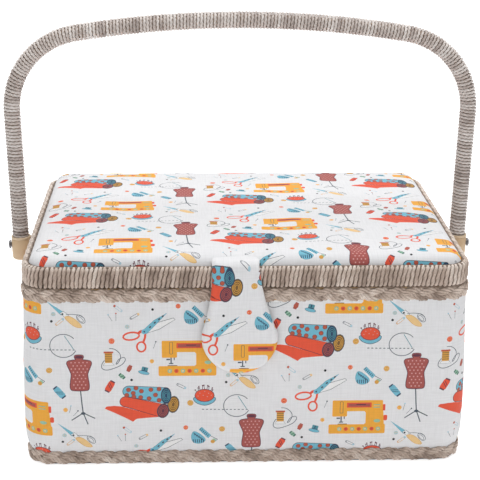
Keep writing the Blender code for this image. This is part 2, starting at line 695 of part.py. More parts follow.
body_pivot = pivot("box_frame", (0, 0, 0))
lid_pivot = pivot("lid_axis", (0, HINGE_Y, HINGE_Z))
tab_pivot = pivot("tab_axis", (0, TAB_BACK_Y - TAB_LAYERS[0], LID_TOP + GAP + HEM_THICK / 2))
handle_pivot = pivot("handle_axis", (0, 0, PIVOT_Z))
lower_pivot = pivot("lower_tray_lift", (0, 0, LOWER_TRAY_BOTTOM))
upper_pivot = pivot("upper_tray_lift", (0, 0, UPPER_TRAY_BOTTOM))

build_walls(body_pivot)
build_floor(body_pivot)
build_skins(body_pivot)
build_trim(body_pivot)
build_inside(body_pivot)
build_lid_rim(lid_pivot)
build_lid_top(lid_pivot)
build_lid_inside(lid_pivot)
build_tab(lid_pivot, tab_pivot)
build_hinge("left", -HINGE_X, body_pivot, lid_pivot)
build_hinge("right", HINGE_X, body_pivot, lid_pivot)
build_handle(handle_pivot)
build_pivot("left", -1, handle_pivot)
build_pivot("right", 1, handle_pivot)
build_trays(lower_pivot, upper_pivot)
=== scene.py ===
"""Looks of the sewing box: printed cotton, wound and plaited paper cord, padded lid and tab, fittings and trays.

Metres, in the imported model's frame. The printed cloth is cut flat, with simple drawings of sewing tools, and
then laid over the lid, the walls and the tab by a function for each.
"""

import random
from contextlib import contextmanager
from itertools import product
from math import cos, hypot, pi, radians, sin, tau

import bmesh
import bpy
import numpy as np
from mathutils import Matrix, Vector, geometry


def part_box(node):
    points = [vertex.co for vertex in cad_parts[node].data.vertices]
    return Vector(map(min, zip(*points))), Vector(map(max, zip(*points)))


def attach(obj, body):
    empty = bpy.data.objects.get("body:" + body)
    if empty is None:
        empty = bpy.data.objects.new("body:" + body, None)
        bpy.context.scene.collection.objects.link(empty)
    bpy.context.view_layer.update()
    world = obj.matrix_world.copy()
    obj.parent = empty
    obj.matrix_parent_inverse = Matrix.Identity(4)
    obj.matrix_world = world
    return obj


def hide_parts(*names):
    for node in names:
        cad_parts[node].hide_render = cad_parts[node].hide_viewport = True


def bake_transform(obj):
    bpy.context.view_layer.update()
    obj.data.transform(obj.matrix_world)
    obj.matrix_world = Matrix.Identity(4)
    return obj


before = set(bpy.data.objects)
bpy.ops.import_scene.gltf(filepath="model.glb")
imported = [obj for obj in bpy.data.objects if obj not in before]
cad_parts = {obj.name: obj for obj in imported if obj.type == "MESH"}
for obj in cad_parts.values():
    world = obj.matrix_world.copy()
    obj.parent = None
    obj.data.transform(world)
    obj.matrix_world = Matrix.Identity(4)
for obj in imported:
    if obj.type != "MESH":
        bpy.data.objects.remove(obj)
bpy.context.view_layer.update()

MM = 0.001                      # a millimetre, in metres

# --- Sizes: boxes read from the frame, and the corner radii of its pieces ------

_, WALL_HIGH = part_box("body_cover")
_, LID_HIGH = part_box("lid_cover")
RIM_LOW, RIM_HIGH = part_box("lid_rim_wrap")
BRAID_LOW, BRAID_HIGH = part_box("top_braid")
FOOT_LOW, FOOT_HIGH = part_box("bottom_braid")
LINING_LOW, LINING_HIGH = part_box("body_lining")
WRAP_LOW, WRAP_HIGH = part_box("handle_wrap")
HEM_LOW, HEM_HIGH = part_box("tab_hem")

WALL_RADIUS, LID_RADIUS, LINING_RADIUS = 19.5 * MM, 19.0 * MM, 14.1 * MM
COVER_RADIUS = 14.2 * MM
WALL_TOP = WALL_HIGH.z

# --- Mesh helpers ------


def mesh_of(points, faces, flat=None):
    """A smooth mesh from arrays; every face has the same number of corners. Cloth also has flat coordinates."""
    points, faces = np.asarray(points, float), np.asarray(faces, int)
    mesh = bpy.data.meshes.new("mesh")
    mesh.vertices.add(len(points))
    mesh.vertices.foreach_set("co", points.ravel())
    mesh.loops.add(faces.size)
    mesh.loops.foreach_set("vertex_index", faces.ravel())
    mesh.polygons.add(len(faces))
    mesh.polygons.foreach_set("loop_start", np.arange(0, faces.size, faces.shape[1]))
    mesh.update(calc_edges=True)
    mesh.validate()
    mesh.shade_smooth()
    if flat is not None:
        set_uv(mesh, flat)
    return mesh


def grid(xs, ys):
    """The places of a grid, x by x, as two flat arrays."""
    return (values.ravel() for values in np.meshgrid(xs, ys, indexing="ij"))


def points_of(mesh):
    found = np.empty(3 * len(mesh.vertices))
    mesh.vertices.foreach_get("co", found)
    return found.reshape(-1, 3)


def move_points(mesh, points):
    mesh.vertices.foreach_set("co", points.ravel())
    mesh.update()


@contextmanager
def editing(mesh):
    """A bmesh of a mesh, written back at the end."""
    work = bmesh.new()
    work.from_mesh(mesh)
    yield work
    work.to_mesh(mesh)
    work.free()


def in_scene(name, data):
    obj = bpy.data.objects.new(name, data)
    bpy.context.scene.collection.objects.link(obj)
    return obj


def piece(name, mesh, finish, body, *nodes):
    """An object that shows, rides on a body and stands in for CAD nodes. With no body it rides on nothing.

    A finish is a material and the slot it fills; the slot is not used.
    """
    material, slot = finish
    obj = in_scene(name, mesh)
    mesh.materials.append(material)
    if body:
        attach(obj, body)
    if nodes:
        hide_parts(*nodes)
    return obj


def evaluated(obj):
    return obj.evaluated_get(bpy.context.evaluated_depsgraph_get())


def quads(rows, columns, wrap_rows=False, wrap_columns=False):
    """Corner numbers of the faces of a grid of points, numbered row by row."""
    i = np.arange(rows if wrap_rows else rows - 1)
    j = np.arange(columns if wrap_columns else columns - 1)
    i, j = np.meshgrid(i, j, indexing="ij")
    next_i, next_j = (i + 1) % rows, (j + 1) % columns
    corners = [i * columns + j, i * columns + next_j, next_i * columns + next_j, next_i * columns + j]
    return np.stack(corners, -1).reshape(-1, 4)


def set_uv(mesh, flat):
    """The cloth's own flat coordinates, in metres, as a UV map."""
    layer = mesh.uv_layers.new(name="cloth")
    index = np.empty(len(mesh.loops), int)
    mesh.loops.foreach_get("vertex_index", index)
    layer.uv.foreach_set("vector", np.asarray(flat, float)[index].ravel())


def smoothstep(t):
    t = np.clip(t, 0, 1)
    return t * t * (3 - 2 * t)


def unit(rows):
    return rows / np.maximum(np.linalg.norm(rows, axis=-1, keepdims=True), 1e-12)


class Track:
    """A rounded rectangle, walked anticlockwise from the middle of its lower side."""

    def __init__(self, half_x, half_y, radius):
        a, b = half_x - radius, half_y - radius
        corners = [(0, -b), (a, -b), (a, b), (-a, b), (-a, -b)]
        runs = [a, 2 * b, 2 * a, 2 * b, a]
        rows, start = [], 0.0
        for side, (corner, run) in enumerate(zip(corners, runs)):
            facing = -pi / 2 + side * pi / 2
            if side:
                rows.append((start, *corner, facing - pi / 2, 1 / radius))
                start += radius * pi / 2
            rows.append((start, *corner, facing, 0.0))
            start += run
        self.rows, self.radius, self.length = np.array(rows), radius, start

    def at(self, s):
        """Points and outward normals at distances s along the track."""
        s = np.mod(np.asarray(s, float), self.length)
        row = self.rows[np.searchsorted(self.rows[:, 0], s, side="right") - 1]
        walked = s - row[..., 0]
        angle = row[..., 3] + walked * row[..., 4]
        straight = np.where(row[..., 4] == 0, walked, 0.0)
        normal = np.stack([np.cos(angle), np.sin(angle)], -1)
        tangent = np.stack([-normal[..., 1], normal[..., 0]], -1)
        return row[..., 1:3] + self.radius * normal + straight[..., None] * tangent, normal

    def stops(self, step, corner_step):
        """Distances to sample the whole track at, closer together round the corners."""
        ends = [*self.rows[:, 0], self.length]
        found = []
        for row, start, end in zip(self.rows, ends, ends[1:]):
            count = max(1, round((end - start) / (corner_step if row[4] else step)))
            found += [start + (end - start) * i / count for i in range(count)]
        return np.array(found)


def wound(centres, outward, twists, ply_radius, ply_offset, sides, squash=1.0, closed=True, plies=2):
    """Plies twisted round a centre line; squash flattens them along the outward direction.

    Gives the points, the faces, each point's place along the line, and how far out of the crevices it lies, which
    the cord's material uses for painted shade.
    """
    count = len(centres)
    if closed:
        ahead, behind = np.roll(centres, -1, 0), np.roll(centres, 1, 0)
    else:
        ahead = np.vstack([centres[1:], centres[-1:]])
        behind = np.vstack([centres[:1], centres[:-1]])
    along = unit(ahead - behind)
    outward = unit(outward - along * (outward * along).sum(-1, keepdims=True))
    across = np.cross(along, outward)
    phase = tau * twists * np.arange(count) / count
    points, faces, out_of_shade = [], [], []
    turn = np.arange(sides) * tau / sides
    for ply in range(plies):
        swing = (phase + ply * tau / plies)[:, None]
        middle = centres + ply_offset * (squash * np.cos(swing) * outward + np.sin(swing) * across)
        ring = ply_radius * (
            squash * np.cos(turn)[None, :, None] * outward[:, None] + np.sin(turn)[None, :, None] * across[:, None]
        )
        points.append((middle[:, None] + ring).reshape(-1, 3))
        faces.append(quads(count, sides, closed, True) + ply * count * sides)
        reach = ply_offset * np.cos(swing) + ply_radius * np.cos(turn)[None]
        out_of_shade.append((0.5 + 0.5 * reach / (ply_offset + ply_radius)).ravel())
    owner = np.tile(np.repeat(np.arange(count), sides), plies)
    return np.vstack(points), np.vstack(faces), owner, np.concatenate(out_of_shade)


def cord_piece(name, node, body, finish, points, faces, tones, out_of_shade):
    """Wound or plaited cord: its material takes each point's tone, and how far out of the crevices it lies, for
    painted shade in them.
    """
    mesh = mesh_of(points, faces)
    # the first channel is the cord's tone; the others say how far out of the crevices the point lies, for painted
    # shade
    layer = mesh.color_attributes.new("tone", "FLOAT_COLOR", "POINT")
    layer.data.foreach_set("color", np.column_stack([tones, out_of_shade, out_of_shade, np.ones(len(tones))]).ravel())
    piece(name, mesh, finish, body, node)


def drift(count, step, seed):
    """A smooth random run of numbers from 0 to 1, with a new target every step places."""
    source = random.Random(seed)
    knots = [source.random() for _ in range(count // step + 2)]
    return np.interp(np.arange(count), np.arange(len(knots)) * step, knots)


def fibre_tones(count, slow, fast, share):
    """Two drifts laid over each other, each given as its step and seed; the slow one has the given share."""
    return share * drift(count, *slow) + (1 - share) * drift(count, *fast)


def inflate(obj, pressure, cap, pinned, slack=0.0, frames=20):
    """Swells a mesh with a cloth simulation and keeps the result; no point moves further than the cap.

    Slack is how much larger the cloth is cut than the form it starts on.
    """
    rest = points_of(obj.data)
    group = obj.vertex_groups.new(name="sewn")
    group.add([int(i) for i in np.nonzero(pinned(rest))[0]], 1.0, "REPLACE")
    cloth = obj.modifiers.new("cloth", "CLOTH")
    settings = cloth.settings
    settings.quality, settings.mass = 6, 0.25
    settings.tension_stiffness = settings.compression_stiffness = 12
    settings.shear_stiffness, settings.bending_stiffness = 5, 0.4
    settings.use_pressure, settings.uniform_pressure_force = True, pressure
    settings.shrink_min = -slack
    settings.vertex_group_mass = group.name
    settings.effector_weights.gravity = 0
    cloth.point_cache.frame_start, cloth.point_cache.frame_end = 1, frames
    for frame_number in range(1, frames + 1):
        bpy.context.scene.frame_set(frame_number)
    move = points_of(evaluated(obj).data) - rest
    obj.modifiers.clear()
    obj.vertex_groups.clear()
    bpy.context.scene.frame_set(1)
    far = np.linalg.norm(move, axis=1, keepdims=True)
    move_points(obj.data, rest + move * np.minimum(1, cap / np.maximum(far, 1e-9)))


# --- Materials ------


def srgb(*values):
    """Linear colour from 0 to 255 display values."""
    return tuple(((v / 255 + 0.055) / 1.055) ** 2.4 if v > 10 else v / 255 / 12.92 for v in values)


class Look:
    """A Principled material and the few node chains that the looks here are made of."""

    def __init__(self, name, colour, roughness, metallic=0.0, **settings):
        self.material = bpy.data.materials.new(name)
        self.material.use_nodes = True
        self.tree = self.material.node_tree
        self.shader = self.tree.nodes["Principled BSDF"]
        self.shader.inputs["Base Color"].default_value = (*colour, 1)
        self.shader.inputs["Roughness"].default_value = roughness
        self.shader.inputs["Metallic"].default_value = metallic
        for key, value in settings.items():
            self.shader.inputs[key.replace("_", " ")].default_value = value
        self.material.diffuse_color = (*colour, 1)
        self.height = None

    def node(self, kind, links=(), **values):
        made = self.tree.nodes.new(kind)
        for key, value in values.items():
            setattr(made, key, value)
        for socket, value in dict(links).items():
            if isinstance(value, bpy.types.NodeSocket):
                self.tree.links.new(value, made.inputs[socket])
            else:
                made.inputs[socket].default_value = value
        return made

    def where(self, uv=False, stretch=(1, 1, 1)):
        source = self.node("ShaderNodeTexCoord").outputs["UV" if uv else "Object"]
        return self.node("ShaderNodeMapping", {"Vector": source, "Scale": stretch}).outputs["Vector"]

    def noise(self, place, scale, detail=3.0, rough=0.55, distortion=0.0):
        links = {"Vector": place, "Scale": scale, "Detail": detail, "Roughness": rough, "Distortion": distortion}
        return self.node("ShaderNodeTexNoise", links).outputs["Fac"]

    def wave(self, place, scale, direction, distortion):
        links = {"Vector": place, "Scale": scale, "Distortion": distortion, "Detail": 1.0, "Detail Scale": 1.5}
        return self.node("ShaderNodeTexWave", links, bands_direction=direction).outputs["Fac"]

    def math(self, operation, first, second):
        return self.node("ShaderNodeMath", {0: first, 1: second}, operation=operation).outputs[0]

    def ramp(self, value, stops):
        """A run of colours; a plain number stands for a grey."""
        made = self.node("ShaderNodeValToRGB", {"Fac": value})
        while len(made.color_ramp.elements) < len(stops):
            made.color_ramp.elements.new(0.5)
        for element, (place, colour) in zip(made.color_ramp.elements, stops):
            element.position = place
            element.color = (*colour, 1) if isinstance(colour, tuple) else (colour, colour, colour, 1)
        return made.outputs["Color"]

    def mix(self, amount, first, second, blend="MIX"):
        first, second = ((*value, 1) if isinstance(value, tuple) else value for value in (first, second))
        links = {0: amount, 6: first, 7: second}
        return self.node("ShaderNodeMix", links, data_type="RGBA", blend_type=blend).outputs[2]

    def times(self, first, second):
        return self.mix(1.0, first, second, "MULTIPLY")

    def attribute(self, name):
        return self.node("ShaderNodeAttribute", attribute_name=name).outputs["Color"]

    def colour(self, socket):
        self.tree.links.new(socket, self.shader.inputs["Base Color"])

    def rough(self, value, low, high):
        made = self.node("ShaderNodeMapRange", {"Value": value, "To Min": low, "To Max": high})
        self.tree.links.new(made.outputs["Result"], self.shader.inputs["Roughness"])

    def bump(self, height, distance, strength=1.0):
        """Adds a layer of relief, over the ones before it."""
        links = {"Height": height, "Distance": distance, "Strength": strength}
        if self.height is not None:
            links["Normal"] = self.height
        self.height = self.node("ShaderNodeBump", links).outputs["Normal"]
        self.tree.links.new(self.height, self.shader.inputs["Normal"])


WAVE_TURNS = 20 / tau           # a wave texture's bands for each unit of scale


def weave(look, place, thread, relief):
    """Plain weave: threads both ways, thicker and thinner along their length."""
    scale = 1 / (2 * thread) / WAVE_TURNS
    warp = look.wave(place, scale, "X", 0.4)
    weft = look.wave(place, scale, "Y", 0.4)
    cloth = look.math("MULTIPLY", warp, weft)
    look.bump(cloth, relief, 0.55)
    return cloth


def printed_cotton():
    look = Look("printed_cotton", srgb(240, 240, 242), 0.88, Sheen_Weight=0.12, Sheen_Roughness=0.5)
    cloth = weave(look, look.where(uv=True), thread=0.28 * MM, relief=0.05 * MM)
    slub = look.noise(look.where(uv=True, stretch=(60, 900, 1)), 1.0, 3.0)
    slub_across = look.noise(look.where(uv=True, stretch=(900, 60, 1)), 1.0, 3.0)
    slubs = look.math("MULTIPLY", slub, slub_across)
    shade = look.ramp(slubs, [(0.08, 0.90), (0.34, 1.0)])
    threads = look.ramp(cloth, [(0.0, 0.95), (0.6, 1.0)])
    look.colour(look.times(look.times(look.attribute("print"), shade), threads))
    look.bump(slubs, 0.12 * MM, 0.35)
    look.rough(slubs, 0.82, 0.95)
    return look.material


def plain_cloth(name, colour, shade, uv=True):
    look = Look(name, colour, 0.9, Sheen_Weight=0.15, Sheen_Roughness=0.45)
    cloth = weave(look, look.where(uv=uv), thread=0.35 * MM, relief=0.07 * MM)
    blotch = look.noise(look.where(uv=uv), 38.0, 4.0)
    base = look.mix(look.ramp(blotch, [(0.35, 0.0), (0.65, 1.0)]), colour, shade)
    look.colour(look.times(base, look.ramp(cloth, [(0.0, 0.86), (0.5, 1.0)])))
    look.bump(blotch, 0.2 * MM, 0.08)
    return look.material


def paper_cord(name, *shades):
    """Twisted paper cord in four shades of fibre, with painted shade darkening the crevices between turns."""
    look = Look(name, shades[1], 0.72, Sheen_Weight=0.1)
    told = look.node("ShaderNodeSeparateColor", {"Color": look.attribute("tone")}).outputs
    fibre = look.noise(look.where(), 1500.0, 3.0)
    patch = look.noise(look.where(), 160.0, 3.0)
    mixed = look.math("ADD", look.math("MULTIPLY", told[0], 0.62), look.math("MULTIPLY", patch, 0.42))
    base = look.ramp(mixed, list(zip((0.18, 0.42, 0.62, 0.85), shades)))
    streak = look.ramp(fibre, [(0.30, (0.74, 0.72, 0.70)), (0.60, 1.05)])
    # painted shade: the colour darkens in the crevices between turns and plies
    crevice_shade = look.ramp(told[1], [(0.30, (0.34, 0.29, 0.26)), (0.50, (0.74, 0.70, 0.67)), (0.74, 1.0)])
    look.colour(look.times(look.times(base, streak), crevice_shade))
    look.bump(fibre, 0.22 * MM, 0.6)
    look.rough(patch, 0.6, 0.85)
    return look.material


def wood(name, light, dark, stretch):
    look = Look(name, light, 0.55)
    grain = look.noise(look.where(stretch=stretch), 1.0, 5.0, 0.6, 0.3)
    base = look.ramp(grain, [(0.30, dark), (0.50, light), (0.72, tuple(c * 1.08 for c in light))])
    pores = look.noise(look.where(stretch=tuple(5 * s for s in stretch)), 1.0, 2.0)
    look.colour(look.mix(0.35, base, look.ramp(pores, [(0.35, dark), (0.55, light)]), "MULTIPLY"))
    look.bump(grain, 0.15 * MM, 0.4)
    look.rough(grain, 0.45, 0.65)
    return look.material


def speckled(name, colour, shade, scale, relief, roughness, sheen=0.0):
    """Felt, foam and board: a fine mottle, with relief to match."""
    look = Look(name, colour, roughness, Sheen_Weight=sheen)
    fine = look.noise(look.where(), scale, 5.0, 0.7)
    look.colour(look.ramp(fine, [(0.32, shade), (0.62, colour)]))
    look.bump(fine, relief, 0.7)
    return look.material


def moulded(name, colour, roughness, streak, **settings):
    """Moulded plastic: an even colour with a fine skin texture and faint handling marks."""
    look = Look(name, colour, roughness, **settings)
    marks = look.noise(look.where(), 90.0, 4.0)
    look.colour(look.ramp(marks, [(0.30, streak), (0.60, colour)]))
    look.rough(marks, roughness * 0.85, min(1.0, roughness * 1.25))
    look.bump(look.noise(look.where(), 2600.0, 2.0), 0.02 * MM, 0.3)
    return look.material


def metal(name, colour, dark, roughness, brushed):
    look = Look(name, colour, roughness, 1.0)
    lines = look.noise(look.where(stretch=brushed), 1.0, 4.0)
    tarnish = look.noise(look.where(), 220.0, 4.0)
    look.colour(look.mix(look.ramp(tarnish, [(0.45, 0.0), (0.75, 0.8)]), colour, dark))
    look.rough(lines, roughness * 0.7, roughness * 1.6)
    look.bump(lines, 0.02 * MM, 0.5)
    return look.material


# Each finish: a material and the slot it fills.
PRINT = printed_cotton(), "print_fabric"
LINING = plain_cloth("lining_cotton", srgb(232, 226, 214), srgb(228, 221, 208)), "lining_fabric"
CUSHION = plain_cloth("cushion_cotton", srgb(196, 66, 58), srgb(176, 52, 48), uv=False), "cushion_fabric"
PIPING = plain_cloth("piping_cotton", srgb(206, 196, 180), srgb(190, 178, 160), uv=False), "lining_fabric"
CUSHION_PIPING = PIPING[0], CUSHION[1]
CORD = paper_cord("paper_cord", srgb(140, 121, 109), srgb(192, 172, 158), srgb(216, 198, 185),
                  srgb(238, 225, 214)), "paper_cord"
HANDLE_CORD = paper_cord("handle_cord", srgb(160, 146, 140), srgb(214, 203, 197), srgb(234, 226, 221),
                         srgb(250, 245, 242)), "paper_cord"
WOOD = wood("pale_wood", srgb(206, 172, 128), srgb(168, 130, 88), (18, 300, 300)), "wood"
FELT = speckled("grey_felt", srgb(86, 86, 90), srgb(58, 58, 62), 900.0, 0.4 * MM, 0.95, 0.3), "felt"
FOAM = speckled("foam", srgb(236, 230, 214), srgb(214, 206, 186), 1200.0, 0.3 * MM, 0.95), "foam"
CAP = moulded("cap_plastic", srgb(224, 194, 156), 0.42, srgb(214, 182, 144), Coat_Weight=0.15), "cap_plastic"
CAP_RIM = moulded("cap_rim_plastic", srgb(226, 202, 170), 0.36, srgb(216, 190, 156), Coat_Weight=0.2), "cap_plastic"
TRAY = moulded("tray_plastic", srgb(226, 230, 228), 0.34, srgb(223, 227, 225), Coat_Weight=0.1), "tray_plastic"
BRASS = metal("aged_brass", (0.66, 0.49, 0.22), (0.36, 0.25, 0.12), 0.30, (60, 900, 900)), "brass"
STEEL = metal("dark_steel", (0.30, 0.30, 0.32), (0.16, 0.15, 0.15), 0.34, (900, 60, 900)), "steel"
# Materials of CAD pieces that keep their own slots.
FIBREBOARD = speckled("fibreboard", srgb(176, 146, 108), srgb(150, 120, 86), 700.0, 0.15 * MM, 0.85)
STRIP = speckled("rim_strip", srgb(140, 123, 110), srgb(112, 96, 84), 700.0, 0.15 * MM, 0.9)

# --- The print's drawings, in millimetres, each round its own middle ------

# The brown-grey ink last in this table is painted shade, for wall cloth in the shadow behind the upper plait.
INKS = {
    "ground": (243, 243, 245), "white": (250, 250, 250), "amber": (252, 180, 66), "red": (243, 92, 62),
    "brick": (178, 92, 86), "plum": (104, 58, 74), "rose": (226, 172, 168), "sky": (124, 196, 218),
    "teal": (84, 152, 166), "navy": (48, 72, 104), "slate": (74, 86, 98), "mint": (160, 204, 176),
    "gold": (228, 170, 78), "straw": (250, 212, 150), "brown": (128, 96, 56), "black": (36, 38, 44),
    "green": (70, 118, 104), "copper": (196, 92, 66), "pale": (176, 212, 226), "plait_shade": (160, 142, 128),
}


def oval(x, y, rx, ry=None, turn=0.0, steps=16):
    ry = rx if ry is None else ry
    c, s = cos(radians(turn)), sin(radians(turn))
    around = [(rx * cos(tau * i / steps), ry * sin(tau * i / steps)) for i in range(steps)]
    return [(x + a * c - b * s, y + a * s + b * c) for a, b in around]


def slab(x0, y0, x1, y1, r=0.5):
    """A rectangle with rounded corners."""
    r = min(r, (x1 - x0) / 2.01, (y1 - y0) / 2.01)
    corners = [(x1 - r, y1 - r, 0), (x0 + r, y1 - r, 90), (x0 + r, y0 + r, 180), (x1 - r, y0 + r, 270)]
    bends = (0, 30, 60, 90)
    return [(x + r * cos(radians(a + b)), y + r * sin(radians(a + b))) for x, y, a in corners for b in bends]


def slabs(ink, *boxes):
    return [(ink, slab(*box)) for box in boxes]


def arc(x, y, rx, ry, degrees):
    return [(x + rx * cos(radians(a)), y + ry * sin(radians(a))) for a in degrees]


def bend(points, closed=False, steps=4):
    """A smooth curve through a few points."""
    count = len(points)
    spans = range(count if closed else count - 1)
    out = []
    for i in spans:
        p = [points[(i + k) % count] if closed else points[min(max(i + k, 0), count - 1)] for k in (-1, 0, 1, 2)]
        for j in range(steps):
            t = j / steps
            w = (-t + 2 * t**2 - t**3, 2 - 5 * t**2 + 3 * t**3, t + 4 * t**2 - 3 * t**3, t**3 - t**2)
            out.append(tuple(sum(a * q[axis] for a, q in zip(w, p)) / 2 for axis in (0, 1)))
    return out if closed else [*out, points[-1]]


def grow(outline, width):
    """The same outline, larger all round by a width."""
    points = np.array(outline, float)
    if signed_area(outline) < 0:
        points = points[::-1]
    edges = unit(np.roll(points, -1, 0) - points)
    normals = np.stack([edges[:, 1], -edges[:, 0]], -1)
    corner = unit(normals + np.roll(normals, 1, 0))
    return [tuple(p) for p in points + corner * width]


def signed_area(outline):
    return sum(a[0] * b[1] - b[0] * a[1] for a, b in zip(outline, [*outline[1:], outline[0]])) / 2


def edged(ink, rim, outline, width=0.35):
    """A filled outline with a drawn edge."""
    return [(rim, grow(outline, width)), (ink, outline)]


def stroke(ink, points, width):
    """A line of even width, in short lengths so that it may cross itself."""
    points = np.array(points, float)
    along = unit(np.gradient(points, axis=0))
    side = np.stack([-along[:, 1], along[:, 0]], -1) * width / 2
    out = []
    for start in range(0, len(points) - 1, 3):
        part = slice(start, start + 4)
        left, right = (points + side)[part], (points - side)[part]
        out.append((ink, [tuple(p) for p in [*left, *right[::-1]]]))
    return out


def loop(ink, outline, width):
    """A closed line of even width."""
    return stroke(ink, [*outline, outline[0]], width)


def inside(outline, x, y):
    hit = False
    for (ax, ay), (bx, by) in zip(outline, [*outline[1:], outline[0]]):
        if (ay > y) != (by > y) and x < (bx - ax) * (y - ay) / (by - ay) + ax:
            hit = not hit
    return hit


def machine():
    """A sewing machine with a column on the right and a dotted base."""
    column = [(6.4, -7), (20.4, -7), (18.9, 13), (6.4, 13)]
    fillets = [(5.0, 5.2), (6.6, 3.4), (6.6, 5.2)], [(5.2, -6.0), (6.6, -6.0), (6.6, -4.6)]
    out = slabs("amber", (-21.2, -13.7, 21.2, -5.9, 1.0), (-18.7, 0.6, -7.6, 13.8, 0.8), (-12, 4.9, 19, 13.8, 0.9))
    out += [("amber", shape) for shape in (column, *fillets)]
    out += slabs("red", (19.0, 5.2, 20.9, 10.4), (19.8, -3.0, 22.6, 1.6, 1.0), (-8.0, 7.8, 10.6, 11.9, 0.3))
    out += slabs("brick", (-6.8, 8.6, 9.4, 11.0, 0.3)) + slabs("plum", (-1, 9.9, 6.4, 10.7))
    out += edged("amber", "slate", slab(-12.8, 3.6, -10.9, 12.5, 0.3), 0.3)
    out += slabs("slate", (-15.5, -1.3, -12.6, -0.2), (-12.4, -3.6, -11.5, 0.7, 0.2))
    out += slabs("slate", (-13.5, -4.4, -10.3, -3.6, 0.2), (-10.0, -1.4, -9.3, 0.6, 0.2))
    out += [("mint", oval(15.0, -3.2, 2.5, 1.4))]
    out += slabs("mint", (12.0, 7.6, 17.0, 8.3, 0.2), (12.0, 9.6, 17.0, 10.3, 0.2))
    out += slabs("brown", (-14.5, -5.9, -7.4, -5.3, 0.2))
    for i in range(7):
        x = -13.0 + 4.85 * i
        ring, middle = ("red", "copper") if i % 2 else ("mint", "straw")
        out += [(ring, oval(x, -9.8, 1.65, steps=12)), (middle, oval(x, -9.8, 0.8, steps=8))]
    return out


def dress_form():
    """A spotted dress form on a three-legged stand."""
    side = [(-2.4, 14.0), (-3.0, 12.4), (-2.4, 10.6), (-7.4, 9.7), (-8.8, 8.0), (-7.8, 4.8), (-6.3, 1.0)]
    side += [(-5.8, -1.8), (-6.7, -8.4), (-6.4, -12.4), (-4.0, -13.4)]
    torso = bend([*side, *[(-x, y) for x, y in reversed(side)]], closed=True, steps=3)
    out = stroke("slate", [(0.4, -13), (1.2, -24), (1.9, -32)], 0.85)
    for foot in ((-6.8, -37.6), (5.2, -41.0), (10.6, -36.2)):
        out += stroke("slate", [(1.9, -31.6), foot], 0.8)
    out += [("slate", oval(1.9, -32, 1.7, 1.1))] + edged("brick", "plum", torso, 0.6)
    out += [("plum", bend([(-2.2, 13.6), (-2.6, 12.0), (0, 11.6), (2.6, 12.0), (2.2, 13.6)], True, 2))]
    for row in range(9):
        for i in range(-3, 4):
            x, y = (i + 0.5 * (row % 2)) * 2.9, -11.6 + 2.5 * row
            if all(inside(torso, x + dx, y) for dx in (-1.0, 1.0)):
                out.append(("rose", oval(x, y, 0.6, steps=6)))
    return out


def red_scissors():
    """Open scissors with red ring handles."""
    out = edged("white", "slate", [(3, -0.7), (11, 2.0), (22.6, 9.2), (21.4, 10.2), (8, 6.3), (4, 3)], 0.38)
    out += loop("red", oval(-9.2, -3.3, 5.9, 2.9, 8), 1.3) + loop("red", oval(-2.0, -11.7, 3.2, 3.8), 1.3)
    out += stroke("red", [(0.2, 1.0), (-2.4, 0.2), (-4.6, -1.6)], 2.0)
    out += stroke("red", [(1.0, -1.4), (0.8, -4.4), (-0.6, -8.2)], 1.6)
    out += edged("sky", "teal", [(-1.0, -1.0), (2.0, -1.4), (9.4, 6.4), (17, 14.3), (7.4, 8.6), (0.6, 2.2)], 0.25)
    out += [("slate", oval(x, y, 1.0, 0.65, 45, 8)) for x, y in ((4.6, 3.6), (8, 7.0), (11.2, 9.6), (13.8, 11.8))]
    return out + [("sky", oval(0.2, 0.1, 2.0)), ("navy", oval(0.3, 0.1, 0.7, steps=8))]


def gold_scissors():
    """Slim shears with gold handles."""
    out = edged("sky", "teal", [(-11.2, 10.0), (-1.0, -0.8), (1.2, 1.2)], 0.2)
    out += edged("white", "slate", [(-1.7, 0.6), (0.9, 2.0), (4.4, -1.0), (2.2, -2.8)], 0.3)
    out += [("black", oval(0.1, 0.0, 0.75, steps=8))]
    out += stroke("slate", bend([(2.6, -0.6), (7, -0.3), (12, -1.0), (15.6, -3.2)]), 0.4)
    out += loop("slate", oval(13.2, -4.0, 3.9, 2.2, -48), 0.4) + loop("slate", oval(13.0, -4.2, 2.7, 1.2, -48), 0.3)
    out += edged("straw", "gold", bend([(1.8, -2.6), (5.6, -2.2), (10.6, -5.8), (13.6, -10.2), (9.2, -9.8),
                                        (5.0, -6.6)], True, 3), 0.35)
    return out


def needle():
    """A curl of thread, its needle and a row of running stitches."""
    curl = arc(0, 0, 9.8, 8.9, range(38, 336, 9))
    out = stroke("slate", curl, 0.55) + stroke("teal", [(0.9, 7.8), (7.3, -2.6)], 0.5)
    stitches = ((7.4 - 2.95 * i, 0.05 * i) for i in range(12))
    return out + slabs("slate", *((x - 0.8, y - 3.5, x + 0.8, y - 2.9, 0.1) for x, y in stitches))


def thread_reel():
    """A wooden reel with its thread running round it in loops."""
    path = [(0.6, 7.2), (4.6, 6.6), (8.2, 3.2), (8.6, -0.6), (6.6, -4.4), (5.4, -4.8), (7.4, -1.4), (11.0, 0.2)]
    path += [(12.2, -1.8), (9.4, -5.6), (3.0, -8.6), (-2.0, -9.6), (-5.0, -8.0), (-4.8, -4.8), (-3.0, -2.0)]
    out = stroke("slate", bend(path), 0.5)
    out += edged("white", "slate", [(-3.9, -6.0), (3.9, -6.0), (2.4, -3.8), (-2.4, -3.8)], 0.25)
    out += slabs("gold", (-2.7, -4, 2.7, 3.8, 0.6)) + slabs("copper", (-3.5, 3.5, 3.5, 4.9, 0.4))
    return out + slabs("brown", *((-2.7, y, 2.7, y + 0.5, 0.1) for y in (-2.8, -1.1, 0.6, 2.2)))


def turned(stamps, angle):
    c, s = cos(radians(angle)), sin(radians(angle))
    return [(ink, [(x * c - y * s, x * s + y * c) for x, y in outline]) for ink, outline in stamps]


